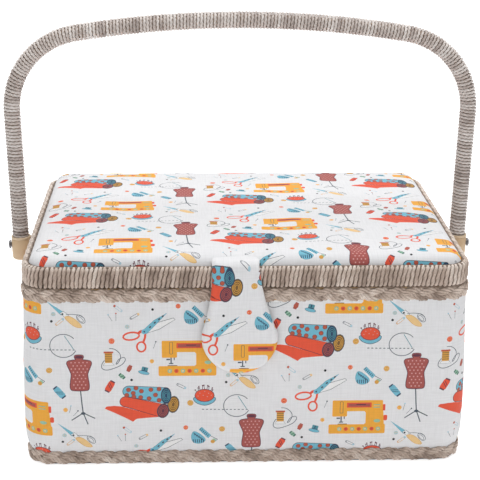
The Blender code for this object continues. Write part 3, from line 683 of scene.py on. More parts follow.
def cotton_reel(body, ends, length, width, angle):
    """A reel seen from the side, with crossed thread."""
    half, high = length / 2, width / 2
    out = slabs(ends, (-half - 1.1, -high * 0.8, half + 1.1, high * 0.8, 0.5))
    out += slabs(body, (-half, -high, half, high, 1.0))
    out += stroke(ends, [(-half * 0.5, -high * 0.9), (half * 0.3, high * 0.9)], 0.45)
    out += stroke(ends, [(-half * 0.1, -high * 0.9), (half * 0.65, high * 0.6)], 0.4)
    return turned(out, angle)


def tape_measure():
    """A curled tape measure with plain ticks."""
    curl = bend([(-8.2, 0.6), (-6.6, 4.0), (-3.0, 2.6), (0.8, -0.8), (2.0, -3.6), (-0.8, -6.0), (-5.0, -6.2),
                 (-7.8, -3.6)], True, 3)
    out = stroke("slate", bend([(4.6, 1.0), (9.8, -2.0), (11.0, -2.8), (9.0, -4.6)]), 0.4)
    for outline in (curl, [(-2.6, 5.6), (-0.6, 7.6), (6.2, 0.8), (4.2, -1.6)]):
        out += edged("sky", "teal", outline, 0.2)
    for i in range(6):
        out += stroke("navy", [(-7.0 + 1.5 * i, -2.6), (-6.8 + 1.5 * i, -5.6)], 0.6)
        out += stroke("navy", [(-6.6 + 1.3 * i, 3.2 - 1.0 * i), (-5.6 + 1.3 * i, 0.8 - 1.0 * i)], 0.6)
        out += stroke("navy", [(-1.0 + 1.1 * i, 6.8 - 1.1 * i), (-2.0 + 1.1 * i, 5.4 - 1.1 * i)], 0.55)
    return out + [("mint", oval(8.6, -3.6, 1.5)), ("gold", oval(7.6, -4.7, 1.6))]


def pincushion_drawing():
    """A round pincushion in a shallow dish."""
    out = edged("sky", "slate", bend([(-7, 0), (-6.4, -3.8), (0, -6.2), (6.4, -3.8), (7, 0)], True), 0.45)
    for i in range(9):
        a = radians(-60 + 15 * i)
        foot = (6.3 * sin(a), 1.6 + 4.4 * cos(a))
        tip = (7.4 * sin(a) + (0.5 if i % 2 else -0.5), 2.2 + 7.4 * cos(a))
        out += stroke("plum", [foot, tip], 0.42) + [("plum", oval(*tip, 0.6, steps=6))]
    out += edged("red", "plum", oval(0, 1.5, 6.9, 4.7), 0.5)
    spots = ((-3.4, 3.4), (0.2, 4.6), (3.0, 3.2), (-1.0, 1.6), (2.0, 0.6), (5.0, 1.6), (-4.8, 1.0))
    return out + [("rose", oval(x, y, 0.42, steps=6)) for x, y in spots]


def rolled_end(x, y, rx, ry, angle, ink, line):
    """The spiral end of a roll of cloth."""
    out = edged(ink, "slate", oval(x, y, rx, ry, angle), 0.45)
    for k in (0.8, 0.57, 0.34):
        out += loop(line, oval(x, y, rx * k, ry * k, angle, 12), 0.5)
    return out


def cloth_rolls():
    """Three rolls of cloth, one of them partly unrolled."""
    flap = [(-28.2, -3.4), (-26.8, -1.6), (-21, -1.2), (-15.5, -1.8), (-4, -5.4), (12.4, -10.6), (4, -11.2)]
    flap += [(-4.6, -12.0), (-6.0, -12.9), (-7.5, -14.4), (-14, -10.6), (-22, -6.4)]
    out = [("red", flap)] + rolled_end(22.4, -0.6, 4.0, 6.5, -8, "brown", "gold")
    out += edged("red", "plum", [*arc(-12.8, 2.0, 3.9, 3.9, range(80, 271, 19)), (13.6, -10.9), (15.4, -0.6)], 0.5)
    out += rolled_end(14.8, -5.7, 4.1, 5.6, -14, "plum", "brick")
    out += edged("sky", "slate", [*arc(-10.3, 10.3, 4.1, 4.1, range(86, 262, 16)), (17.0, 0.2), (17.2, 12.9)], 0.5)
    for x, y in ((-10.4, 11.6), (-4.9, 12.9), (-1.0, 10.4), (6.0, 11.5), (12.0, 11.9), (-7.0, 8.9), (-11.8, 7.3),
                 (-6.6, 6.0), (-1.6, 5.4), (9.3, 7.2), (4.6, 4.4), (12.0, 2.9)):
        out += edged("copper", "plum", oval(x, y, 1.5, 1.5, steps=10), 0.3)
    return out + rolled_end(17.2, 6.6, 3.5, 6.3, 0, "navy", "teal")


def button(ink, radius=2.2, rim="straw"):
    out = [(ink, oval(0, 0, radius)), *loop(rim, oval(0, 0, radius * 0.72, steps=12), 0.16)]
    return out + [(rim, oval(dx, 0, 0.32, steps=6)) for dx in (-0.55, 0.55)]


def safety_pin(line, head, angle):
    out = loop(line, slab(-3.8, -0.85, 3.4, 0.85, 0.8), 0.3) + [(head, slab(2.2, -0.95, 3.9, 0.95, 0.8))]
    return turned(out + loop(line, oval(-3.2, 0, 0.45, steps=8), 0.25), angle)


def pin(head, angle):
    return turned(stroke("slate", [(0, 0), (0, -5.4)], 0.26) + [(head, oval(0, 0.2, 0.6, steps=8))], angle)


def top_hat():
    """A small hat-shaped thimble with a striped brim."""
    out = slabs("teal", (-2.2, 0.2, 2.4, 3.6, 0.4)) + edged("sky", "slate", oval(0, -0.9, 4.0, 1.25), 0.25)
    return turned(out + slabs("navy", (-2.2, 0.2, 2.4, 0.9, 0.1), (-0.4, 1.2, 0.4, 3.2, 0.1)), -14)


# Each drawing's place in one repeat of the print, from the rolls of cloth, in millimetres.
REPEAT = [
    (cloth_rolls(), 0, 0), (machine(), 33, 36), (dress_form(), -46, 25), (red_scissors(), 1.5, 57),
    (gold_scissors(), -52, -25), (needle(), -57, 46.5), (thread_reel(), -24.5, 37), (tape_measure(), 44, -27),
    (pincushion_drawing(), 45.5, 5), (cotton_reel("sky", "navy", 8.6, 4.8, -50), -61, 10),
    (cotton_reel("red", "plum", 7.6, 4.8, 60), -24, 14.5),
    (cotton_reel("copper", "brick", 3.2, 3.4, 64), -9.5, 28.5),
    (cotton_reel("mint", "green", 3.0, 3.2, -42), -15, 22.5), (top_hat(), 1.2, 26), (button("red"), -22, 50),
    (button("pale", 1.6), -10.5, 61), (button("red", 1.8), 31.5, -19.6), (button("amber", 1.6), 7, 34),
    (button("gold", 2.3), 35, 0.6), (button("gold", 2.2), 58.5, -21), (button("amber", 1.7), -57, -4),
    (button("pale", 1.6), -58.5, -25), (safety_pin("slate", "straw", 30), 0, -27),
    (safety_pin("pale", "copper", 142), -12, -21), (safety_pin("slate", "pale", -28), 28.5, 14),
    (safety_pin("gold", "pale", 40), -54, -31), (pin("copper", 0), -13.5, -25), (pin("pale", 30), -19, -26),
    (pin("slate", -20), 10, 49), (pin("slate", -40), -48, -5), (pin("pale", -12), -53, -1),
    *[([("black", oval(0, 0, 1.0, steps=10))], x, y) for x, y in ((-8, 19.5), (13, -22), (-60, -30.5))],
]


def along_edges(outline, step):
    """The outline with points added, none further apart than a step."""
    out = []
    for (ax, ay), (bx, by) in zip(outline, [*outline[1:], outline[0]]):
        count = max(1, int(hypot(bx - ax, by - ay) / step + 0.999))
        out += [(ax + (bx - ax) * i / count, ay + (by - ay) * i / count) for i in range(count)]
    return out


LONGEST_EDGE = 3.5 * MM         # drawn lines are split to this, so that they follow the form
REACH = 46 * MM                 # no drawing runs further than this from its middle


def print_cloth(outline, spots, start, across, up):
    """Cuts a piece of printed cloth into triangles. The print repeats by the steps across and up from start."""
    low, high = np.min(outline, 0), np.max(outline, 0)
    points, faces, inks = [], [], []

    def add(ink, polygon):
        polygon = polygon if signed_area(polygon) > 0 else polygon[::-1]
        faces.append(list(range(len(points), len(points) + len(polygon))))
        points.extend(polygon)
        inks.append(ink)

    add("ground", [tuple(p) for p in outline])
    for i, j, (stamps, x, y) in product(range(-12, 13), range(-14, 15), REPEAT):
        place = np.array(start) + i * np.array(across) + j * np.array(up) + np.array((x, y)) * MM
        if np.any(place < low - REACH) or np.any(place > high + REACH):
            continue
        for ink, shape in stamps:
            laid = np.array(shape) * MM + place
            if np.all(laid.max(0) > low) and np.all(laid.min(0) < high):
                add(ink, along_edges(laid.tolist(), LONGEST_EDGE))
    points.extend(tuple(p) for p in spots)
    laid = [Vector((x * 1000, y * 1000)) for x, y in points]
    verts, _, triangles, _, _, sources = geometry.delaunay_2d_cdt(laid, [], faces, 0, 1e-4)
    kept = [(face, max(source)) for face, source in zip(triangles, sources) if 0 in source]
    flat = np.array([(v.x / 1000, v.y / 1000) for v in verts])
    corners = np.array([face for face, _ in kept])
    used, corners = np.unique(corners, return_inverse=True)
    return flat[used], corners.reshape(-1, 3), [inks[top] for _, top in kept]


def printed_mesh(flat, corners, inks, shape):
    """Lays cut cloth over a form: shape takes flat coordinates to points in space."""
    mesh = mesh_of(shape(flat), corners)
    layer = mesh.color_attributes.new("print", "BYTE_COLOR", "CORNER")
    colours = np.array([(*(c / 255 for c in INKS[ink]), 1) for ink in inks])
    if len(mesh.loops) != 3 * len(colours):
        raise ValueError("the cloth's mesh lost faces")
    layer.data.foreach_set("color_srgb", np.repeat(colours, 3, 0).ravel())
    set_uv(mesh, flat)
    return mesh


# --- Camera, light and floor ------

AIM = Vector((-0.0004, 0, 0.1375))
DISTANCE, LENS = 1.0251, 95.09
AZIMUTH, ELEVATION, ROLL = radians(-2.558), radians(18.70), radians(0.523)


def camera():
    back = Vector((sin(AZIMUTH) * cos(ELEVATION), -cos(AZIMUTH) * cos(ELEVATION), sin(ELEVATION)))
    right = (-back).cross(Vector((0, 0, 1))).normalized()
    up = right.cross(-back)
    right, up = right * cos(ROLL) + up * sin(ROLL), up * cos(ROLL) - right * sin(ROLL)
    data = bpy.data.cameras.new("camera")
    data.lens, data.sensor_width = LENS, 36
    obj = in_scene("camera", data)
    obj.matrix_world = Matrix.Translation(AIM + back * DISTANCE) @ Matrix((right, up, back)).transposed().to_4x4()
    bpy.context.scene.camera = obj


# Each light: name, place, size and power.
LIGHTS = (("key", (-0.7, -1.1, 1.5), 1.1, 2.8), ("fill", (1.2, -0.9, 0.9), 1.2, 1.2),
          ("top", (0.1, 0.3, 1.8), 1.4, 22))
LIGHTS_AIM = Vector((0, 0, 0.1))
AMBIENT, BACKDROP = 0.37, 1.05          # the world's strength on the box, and where the camera looks at it
FLOOR_GLOW, FLOOR_GLOW_SEEN = 0.32, 0.40


def area_light(name, place, size, power):
    data = bpy.data.lights.new(name, "AREA")
    data.shape, data.size, data.energy = "DISK", size, power
    obj = in_scene(name, data)
    obj.location = place
    obj.rotation_euler = (LIGHTS_AIM - Vector(place)).to_track_quat("-Z", "Y").to_euler()


def studio():
    """A white sweep under soft light: the floor glows a little, as an overlit backdrop does."""
    world = bpy.data.worlds.new("studio")
    world.use_nodes = True
    tree = world.node_tree
    tree.nodes["Background"].inputs["Color"].default_value = (1, 1, 1, 1)
    light = tree.nodes.new("ShaderNodeMapRange")
    light.inputs["To Min"].default_value, light.inputs["To Max"].default_value = AMBIENT, BACKDROP
    tree.links.new(tree.nodes.new("ShaderNodeLightPath").outputs["Is Camera Ray"], light.inputs["Value"])
    tree.links.new(light.outputs["Result"], tree.nodes["Background"].inputs["Strength"])
    bpy.context.scene.world = world
    bpy.context.scene.view_settings.view_transform = "Standard"
    for light in LIGHTS:
        area_light(*light)
    bpy.ops.mesh.primitive_circle_add(vertices=96, radius=60, fill_type="NGON", location=(0, 0, -0.0002))
    floor = bpy.context.object
    floor.name = "floor"
    look = Look("floor", (0.93, 0.93, 0.93), 0.9, Emission_Color=(1, 1, 1, 1))
    seen = look.node("ShaderNodeLightPath").outputs["Is Camera Ray"]
    glow = look.math("ADD", look.math("MULTIPLY", seen, FLOOR_GLOW_SEEN), FLOOR_GLOW)
    look.tree.links.new(glow, look.shader.inputs["Emission Strength"])
    grain = look.noise(look.where(), 60.0, 3.0)
    look.colour(look.ramp(grain, [(0.3, 0.92), (0.7, 0.94)]))
    floor.data.materials.append(look.material)


camera()
studio()

# --- Fabric walls ------

WALL = Track(WALL_HIGH.x, WALL_HIGH.y, WALL_RADIUS)
BELLY, TUCK, FOOT_TUCK, FOOT_HEIGHT = 3.6 * MM, 1.5 * MM, 2.2 * MM, 22 * MM
WALL_RIPPLE, WALL_PUCKER, PUCKER_Z, PUCKER_HEIGHT = 0.22 * MM, 0.16 * MM, 128 * MM, 5 * MM
DEEPEST = 0.9 * MM              # further in than this, the board would show through the cloth
TURN_IN, HIDDEN = 5 * MM, 4 * MM        # cloth turned in over the board, and cloth behind the plait with its print; above that the cloth gets painted shade
FRONT_REPEAT = ((-76.4 * MM, 50.5 * MM), (121.4 * MM, 47.5 * MM), (-5.0 * MM, 96.0 * MM))


def wall_bulge(z):
    """How far the padded wall stands out at a height: fullest low down, drawn in at the foot and the top."""
    z = np.clip(z, 0, WALL_TOP)
    full = BELLY * np.sin(pi * (z / WALL_TOP) ** 0.55) - TUCK
    return np.maximum(full - FOOT_TUCK * (1 - smoothstep(z / FOOT_HEIGHT)), -DEEPEST)


def wall_point(flat):
    """Cloth at u along the wall and v up it; past the top edge it turns in over the board."""
    u, v = flat[:, 0], flat[:, 1]
    point, normal = WALL.at(u)
    over = np.clip(v - WALL_TOP, 0, None)
    under = np.clip(1.2 * MM - v, 0, None)
    ripple = WALL_RIPPLE * np.sin(u * 61 + 3 * np.sin(v * 40)) * np.sin(v * 47 + u * 9)
    pucker = WALL_PUCKER * np.sin(u * 900 + np.sin(u * 130) * 2) * np.exp(-np.abs(v - PUCKER_Z) / PUCKER_HEIGHT)
    out = wall_bulge(v) + ripple * smoothstep(v / 0.02) * smoothstep((0.13 - v) / 0.02) + pucker
    out = np.where(over > 0, wall_bulge(WALL_TOP) - over, out) - 1.6 * under
    z = np.where(over > 0, WALL_TOP, np.maximum(v, 0.5 * MM + 0.3 * v))
    return np.column_stack([point + normal * out[:, None], z])


def fabric_walls():
    top, bottom = WALL_TOP + TURN_IN, 0.0
    half = WALL.length / 2
    columns = WALL.stops(8 * MM, 2.4 * MM)
    columns = [-half, *sorted(np.where(columns > half, columns - WALL.length, columns)), half]
    under_rim, round_foot = (135.5 * MM, 137.5 * MM, 139.5 * MM), 2.0 * MM
    rows = [*np.linspace(0.4 * MM, WALL_TOP, 20), *under_rim]
    rows += [WALL_TOP + 0.3 * MM, WALL_TOP + 2.5 * MM, round_foot]
    outline = [(u, bottom) for u in columns] + [(u, top) for u in columns[::-1]]
    spots = [*product(columns[1:-1], rows), *product((-half, half), rows)]
    flat, corners, inks = print_cloth(outline, spots, *FRONT_REPEAT)
    # painted shade: cloth high behind the upper plait, and turned over the board, takes a dark ink in place of its
    # print
    in_plait_shade = flat[corners][..., 1].min(1) > BRAID_LOW.z + HIDDEN
    inks = ["plait_shade" if plain else ink for ink, plain in zip(inks, in_plait_shade)]
    mesh = printed_mesh(flat, corners, inks, wall_point)
    obj = piece("printed_walls", mesh, PRINT, "box", "body_cover")


fabric_walls()

# --- Padded lid ------

LID_EDGE, CROWN, SHOULDER, BROAD = 156.6 * MM, 7.8 * MM, 2.7 * MM, 16 * MM
LID_WAVE, LID_RIPPLE = 0.25 * MM, 0.15 * MM
STEEP = 0.94 * CROWN            # the part of the crown that the shoulder climbs
LID_REPEAT = ((0.8 * MM, 17.9 * MM), (124.2 * MM, 48.2 * MM), (-1.0 * MM, 97.5 * MM))
LID_HALF = (LID_HIGH.x, LID_HIGH.y)


def edge_distance(x, y, half_x, half_y, radius):
    """Distance in from the edge of a rounded rectangle."""
    qx, qy = np.abs(x) - (half_x - radius), np.abs(y) - (half_y - radius)
    return radius - np.hypot(np.maximum(qx, 0), np.maximum(qy, 0)) - np.minimum(np.maximum(qx, qy), 0)


LID_CLOTH = (72, 54)
LID_RISE = np.zeros(LID_CLOTH)  # how far the stuffing lifts the cover above its crown, on an even grid


def lid_lift(x, y):
    """LID_RISE at any place on the lid."""
    place = [(value / half + 1) / 2 * (count - 1) for value, half, count in zip((x, y), LID_HALF, LID_CLOTH)]
    u, v = (np.clip(value, 0, count - 1.001) for value, count in zip(place, LID_CLOTH))
    i, j = u.astype(int), v.astype(int)
    a, b = u - i, v - j
    near = (1 - b) * LID_RISE[i, j] + b * LID_RISE[i, j + 1]
    far = (1 - b) * LID_RISE[i + 1, j] + b * LID_RISE[i + 1, j + 1]
    return (1 - a) * near + a * far


def lid_height(x, y):
    """The padded top: it climbs quickly from the rim and is nearly flat over the middle."""
    shoulder = 1 - np.exp(-np.maximum(edge_distance(x, y, *LID_HALF, COVER_RADIUS), 0) / SHOULDER)
    rise = 1
    for half, value in zip(LID_HALF, (x, y)):
        rise = rise * (1 - np.exp(-np.maximum(half - np.abs(value), 0) / BROAD))
    waves = LID_WAVE * np.sin(x * 33 + 1.3) * np.sin(y * 41 + 0.4) + LID_RIPPLE * np.sin(x * 77 + y * 51)
    return LID_EDGE + STEEP * shoulder + (CROWN - STEEP) * rise + waves * rise + lid_lift(x, y)


def stuff_lid():
    """A coarse cloth simulation of the cover, sewn down round the rim and pushed up by its padding."""
    xs, ys = (np.linspace(-half, half, count) for half, count in zip(LID_HALF, LID_CLOTH))
    x, y = grid(xs, ys)
    start = lid_height(x, y)
    obj = in_scene("lid_cloth", mesh_of(np.column_stack([x, y, start]), quads(*LID_CLOTH)))
    held = edge_distance(x, y, *LID_HALF, COVER_RADIUS) < 5 * MM
    inflate(obj, pressure=-0.1, cap=1.6 * MM, pinned=lambda _: held, slack=0.001)
    LID_RISE[:] = (points_of(obj.data)[:, 2] - start).reshape(LID_CLOTH)
    bpy.data.objects.remove(obj)


# Lengths of cloth from the rim in over the shoulder, and the distances in plan that they cover.
PLAN = np.linspace(0, 30 * MM, 601)
ARC = np.cumsum(np.hypot(1, STEEP / SHOULDER * np.exp(-PLAN / SHOULDER))) * PLAN[1]
ARC = ARC - ARC[0]
LID_WRAP = ARC[-1] - PLAN[-1]
LID_FLAT = (LID_HALF[0] + LID_WRAP, LID_HALF[1] + LID_WRAP)


def lid_point(flat):
    """The cloth lies flat over the middle, and goes down the shoulder without stretching its print."""
    size = np.abs(flat)
    centre = np.array(LID_HALF) - COVER_RADIUS
    q = size - centre
    inward = edge_distance(flat[:, 0], flat[:, 1], *LID_FLAT, COVER_RADIUS + LID_WRAP)
    reach = np.hypot(*np.maximum(q, 0).T)
    pull = np.interp(inward, ARC, PLAN) - inward + LID_WRAP
    way = np.where((q > 0).all(1)[:, None], q / np.maximum(reach, 1e-9)[:, None], np.eye(2)[np.argmax(q, axis=1)])
    pull = np.where(inward < ARC[-1], pull, 0)
    x, y = ((size - way * pull[:, None]) * np.sign(flat)).T
    return np.column_stack([x, y, lid_height(x, y)])


def padded_lid():
    radius = COVER_RADIUS + LID_WRAP
    track = Track(*LID_FLAT, radius)
    edge = track.stops(5 * MM, 2 * MM)
    outline = track.at(edge)[0]
    spots = []
    for inset in (1.3 * MM, 2.7 * MM, 4.2 * MM, 5.8 * MM, 7.6 * MM, 9.8 * MM, 12.5 * MM):
        ring = Track(LID_FLAT[0] - inset, LID_FLAT[1] - inset, radius - inset)
        spots += [tuple(p) for p in ring.at(ring.stops(4.5 * MM, 2 * MM))[0]]
    inner = 14 * MM                 # the rings above end here, and an even grid takes over
    xs, ys = (np.linspace(inner - half, half - inner, count) for half, count in zip(LID_HALF, (54, 38)))
    spots += product(xs, ys)
    flat, corners, inks = print_cloth(outline, spots, *LID_REPEAT)
    mesh = printed_mesh(flat, corners, inks, lid_point)
    obj = piece("padded_lid_top", mesh, PRINT, "lid", "lid_cover")


stuff_lid()
padded_lid()

# --- Cord wound on the rim and the handle ------

RIM_PLY, RIM_PLY_OFFSET = 1.18 * MM, 0.38 * MM
RIM_SINK, RIM_DROP = 0.4 * MM, 1.8 * MM         # the winding's top and bottom, each below the CAD's
RIM_HALF_DEPTH, RIM_INSET = 2.9 * MM, 2.1 * MM  # the winding's half depth, and its middle's place in from the edge
CREST_START, CREST_RUN = 0.75, 0.2              # from here up, in half heights, the turns get a painted highlight where they catch the light from above
# how much the painted highlight lightens the tone, and how far it lifts the turns out of the painted crevice shade
CREST_HIGHLIGHT, CREST_OUT_OF_SHADE = 0.45, 0.62


def rim_wrap():
    """Cord wound side by side round the lid's rim, all the way round."""
    turns, steps, twists = 345, 24, 2.37
    radius = RIM_PLY + RIM_PLY_OFFSET
    top, bottom = RIM_HIGH.z - RIM_SINK, RIM_LOW.z - RIM_DROP
    half_depth, half_height = RIM_HALF_DEPTH - radius, (top - bottom) / 2 - radius
    section = Track(half_height, half_depth, half_depth * 0.999)
    path = Track(RIM_HIGH.x - RIM_INSET, RIM_HIGH.y - RIM_INSET, LID_RADIUS - RIM_INSET)
    count = turns * steps
    place = np.arange(count)
    local, normal = section.at(section.length * (place % steps) / steps)
    height, depth = local[:, 0], -local[:, 1]
    uneven, top_lean, own_lean = 0.5 * MM, 0.7 * MM, 1.1 * MM
    wobble = np.repeat(drift(turns, 3, 5) - 0.5, steps) * uneven
    lean = top_lean * (height / half_height) ** 2 * (height > 0)
    lean = lean + np.repeat(drift(turns, 2, 6) - 0.5, steps) * own_lean * height / half_height
    point, outward = path.at(path.length * place / count + wobble + lean)
    centres = np.column_stack([point + outward * depth[:, None], (top + bottom) / 2 + height])
    facing = np.column_stack([outward * -normal[:, 1:2], normal[:, 0]])
    points, faces, owner, out_of_shade = wound(centres, facing, round(turns * twists), RIM_PLY, RIM_PLY_OFFSET, 5)
    # painted highlight on the tops of the turns: a lighter tone, and no painted crevice shade
    painted_crest = smoothstep((height / half_height - CREST_START) / CREST_RUN)[owner]
    tone = fibre_tones(count, (31, 11), (5, 12), 0.7)[owner] + CREST_HIGHLIGHT * painted_crest
    cord_piece("rim_cord", "lid_rim_wrap", "lid", CORD, points, faces, tone, np.maximum(out_of_shade, CREST_OUT_OF_SHADE * painted_crest))


def arc_points(centre, radius, start, end, steps):
    turn = np.linspace(start, end, steps)
    return np.column_stack([centre[0] + radius * np.cos(turn), centre[1] + radius * np.sin(turn)])


HANDLE_APEX, HANDLE_TOP_RADIUS, HANDLE_BEND = 0.3150, 0.800, 0.060
HANDLE_SPAN, HANDLE_LEAN = radians(9.2), radians(1.26)


def handle_line(low):
    """The handle's centre line, the same as the CAD's: a flat arch, two bends and two legs."""
    top = (0.0, HANDLE_APEX - HANDLE_TOP_RADIUS)
    upper = pi / 2 - HANDLE_SPAN
    reach = HANDLE_TOP_RADIUS - HANDLE_BEND
    shoulder = (top[0] + reach * cos(upper), top[1] + reach * sin(upper))
    right = [arc_points(top, HANDLE_TOP_RADIUS, pi / 2, upper, 60)]
    right.append(arc_points(shoulder, HANDLE_BEND, upper, -HANDLE_LEAN, 50)[1:])
    start = right[-1][-1]
    drop = np.linspace(0, start[1] - low, 60)[1:]
    right.append(np.column_stack([start[0] - drop * sin(HANDLE_LEAN), start[1] - drop]))
    right = np.vstack(right)
    return np.vstack([right[::-1] * (-1, 1), right[1:]])


def handle_cord():
    """Thinner cord wound round the handle's core, from one cap to the other."""
    turns, steps, twists = 248, 30, 5.3
    ply, offset, proud, into_cap = 0.90 * MM, 0.42 * MM, 0.25 * MM, 1.5 * MM
    radius = WRAP_HIGH.y + proud - ply - offset
    line = handle_line(WRAP_LOW.z - into_cap)
    walked = np.concatenate([[0], np.cumsum(np.hypot(*np.diff(line, axis=0).T))])
    count = turns * steps
    place = np.linspace(0, walked[-1], count)
    wobble = np.repeat(drift(turns, 2, 21) - 0.5, steps) * 0.35 * MM
    place = np.clip(place + wobble, 0, walked[-1])
    x, z = np.interp(place, walked, line[:, 0]), np.interp(place, walked, line[:, 1])
    direction = unit(np.gradient(line, axis=0))
    dx, dz = (np.interp(place, walked, direction[:, axis]) for axis in (0, 1))
    turn = tau * np.arange(count) / steps
    out = np.column_stack([-dz * np.cos(turn), np.sin(turn), dx * np.cos(turn)])
    centres = np.column_stack([x, np.zeros(count), z]) + radius * out
    points, faces, owner, out_of_shade = wound(centres, out, turns * twists, ply, offset, 5, closed=False)
    tone = fibre_tones(count, (37, 22), (5, 23), 0.7)[owner]
    cord_piece("handle_cord", "handle_wrap", "handle", HANDLE_CORD, points, faces, tone, out_of_shade)


rim_wrap()
handle_cord()

# --- Plaits round the walls ------


def plait(name, node, low, high, stand_out):
    """A flat plait of three strands, once round the walls: each strand passes over on its way out."""
    periods, steps = 29, 40
    ply, offset, squash, strands, depth_swing = 1.15 * MM, 1.55 * MM, 0.36, 3, 0.6 * MM
    swing = (high - low) / 2 - ply - offset
    count = periods * steps
    place = np.arange(count)
    point, outward = WALL.at(WALL.length * place / count)
    facing = np.column_stack([outward, np.zeros(count)])
    all_points, all_faces, tones, all_out_of_shade = [], [], [], []
    for strand in range(strands):
        phase = tau * (periods * place / count + strand / strands)
        depth = stand_out + depth_swing * np.sin(2 * phase)
        height = (low + high) / 2 + swing * np.sin(phase) + 0.25 * MM * (drift(count, 14, 51 + strand) - 0.5)
        centres = np.column_stack([point + outward * depth[:, None], height])
        points, faces, owner, out_of_shade = wound(centres, facing, 70 + strand, ply, offset, 6, squash, plies=4)
        all_faces.append(faces + sum(len(p) for p in all_points))
        all_points.append(points)
        tones.append(fibre_tones(count, (9, 31 + strand), (3, 41 + strand), 0.6)[owner])
        # painted shade: a strand is darker where it passes under the others, and lighter where it lies on top
        over = smoothstep((0.2 + np.sin(2 * phase)) / 0.7)
        all_out_of_shade.append(out_of_shade * 0.75 + 0.25 * over[owner])
    laid = map(np.concatenate, (all_points, all_faces, tones, all_out_of_shade))
    cord_piece(name, node, "box", CORD, *laid)


plait("upper_plait", "top_braid", BRAID_LOW.z + 0.1 * MM, BRAID_HIGH.z - 0.2 * MM, -0.7 * MM)
plait("foot_plait", "bottom_braid", FOOT_LOW.z, FOOT_HIGH.z, -0.1 * MM)

# --- Tab ------

TAB_MIDDLE, TAB_LEAN = (HEM_LOW.x + HEM_HIGH.x) / 2, radians(3.5)
TAB_TOP, TAB_BOTTOM = 158.0 * MM, 75.5 * MM
TAB_TOP_WIDTH, TAB_WIDTH, TAB_BOW = 33.6 * MM, 55.6 * MM, 2.2 * MM
TAB_TILT = radians(8)
TAB_THICK, TAB_ROLL, TAB_LIFT = 4.0 * MM, 4.5 * MM, 0.1 * MM
TAB_BACK_Y, TAB_BEND, TAB_BEND_Z = -120.3 * MM, 3.0 * MM, 156.0 * MM
TAB_REACH = 15.5 * MM            # how far the tab's cloth runs on over the rim and onto the lid
TAB_SLOPE = radians(9)
TAB_PLAIN = 7 * MM              # above the tab's neck by this much the cloth has no print
TAB_REPEAT = ((-24.3 * MM, 50.2 * MM), (121.4 * MM, 47.5 * MM), (-6.0 * MM, 94.0 * MM))


def tab_outline():
    """The tab laid flat: a neck that flares and ends in a half round."""
    radius = TAB_WIDTH / 2
    round_z = TAB_BOTTOM + radius
    middle = TAB_MIDDLE + (TAB_TOP - round_z) * sin(TAB_LEAN)
    points = [tuple(p) for p in arc_points((middle, round_z), radius, -pi - TAB_TILT, TAB_TILT, 40)]
    half = TAB_TOP_WIDTH / 2
    right, left = (TAB_MIDDLE + half, TAB_TOP), (TAB_MIDDLE - half, TAB_TOP)
    for start, end, bow in ((points[-1], right, TAB_BOW), (left, points[0], -TAB_BOW)):
        for i in range(1, 12):
            t = i / 12
            x = start[0] + (end[0] - start[0]) * t - bow * sin(pi * t)
            points.append((x, start[1] + (end[1] - start[1]) * t))
        if bow > 0:
            end_z = TAB_TOP + TAB_REACH
            points += [right, (right[0] + 1.5 * MM, end_z), (left[0] - 1.5 * MM, end_z), left]
    return points


def tab_frame(w):
    """The back layer's line over the rim: place and outward direction at unrolled height w."""
    past = np.clip(w - TAB_BEND_Z, 0, None)
    turn = np.minimum(past / TAB_BEND, pi / 2 - TAB_SLOPE)
    bent = TAB_BEND * (pi / 2 - TAB_SLOPE)
    run = np.clip(past - bent, 0, None)
    y = TAB_BACK_Y + TAB_BEND - TAB_BEND * np.cos(turn) + run * cos(TAB_SLOPE)
    z = np.minimum(w, TAB_BEND_Z) + TAB_BEND * np.sin(turn) + run * sin(TAB_SLOPE)
    return y, z, -np.cos(turn), np.sin(turn)


def distance_to(outline, flat):
    """Each point's distance to a closed outline."""
    start = np.array(outline)
    step = np.roll(start, -1, 0) - start
    offset = flat[:, None] - start[None]
    t = np.clip((offset * step).sum(-1) / (step**2).sum(-1), 0, 1)
    return np.linalg.norm(offset - t[..., None] * step, axis=-1).min(1)


def tab_surface(flat, thick, roll, lift):
    edge = distance_to(tab_outline(), flat)
    y, z, ny, nz = tab_frame(flat[:, 1])
    thin = 1 - 0.5 * smoothstep((flat[:, 1] - TAB_BEND_Z) / (9 * MM))
    rise = lift + thick * thin * np.sqrt(np.clip(1 - (1 - np.minimum(edge / roll, 1)) ** 2, 0, 1))
    rise = rise + 0.12 * MM * np.sin(flat[:, 0] * 210 + flat[:, 1] * 90) * smoothstep(edge / (6 * MM))
    return np.column_stack([flat[:, 0], y + ny * rise, z + nz * rise])


def grid_inside(outline, step, margin):
    low, high = np.min(outline, 0), np.max(outline, 0)
    xs = np.arange(low[0] + step / 2, high[0], step)
    ys = np.arange(low[1] + step / 2, high[1], step)
    spots = np.array([place for place in product(xs, ys) if inside(outline, *place)])
    return map(tuple, spots[distance_to(outline, spots) > margin])


def rings_inside(outline, depths):
    """Copies of an outline, stepped in by each depth."""
    points = []
    for depth in depths:
        points += grow(along_edges(outline, 2.5 * MM), -depth)
    return points


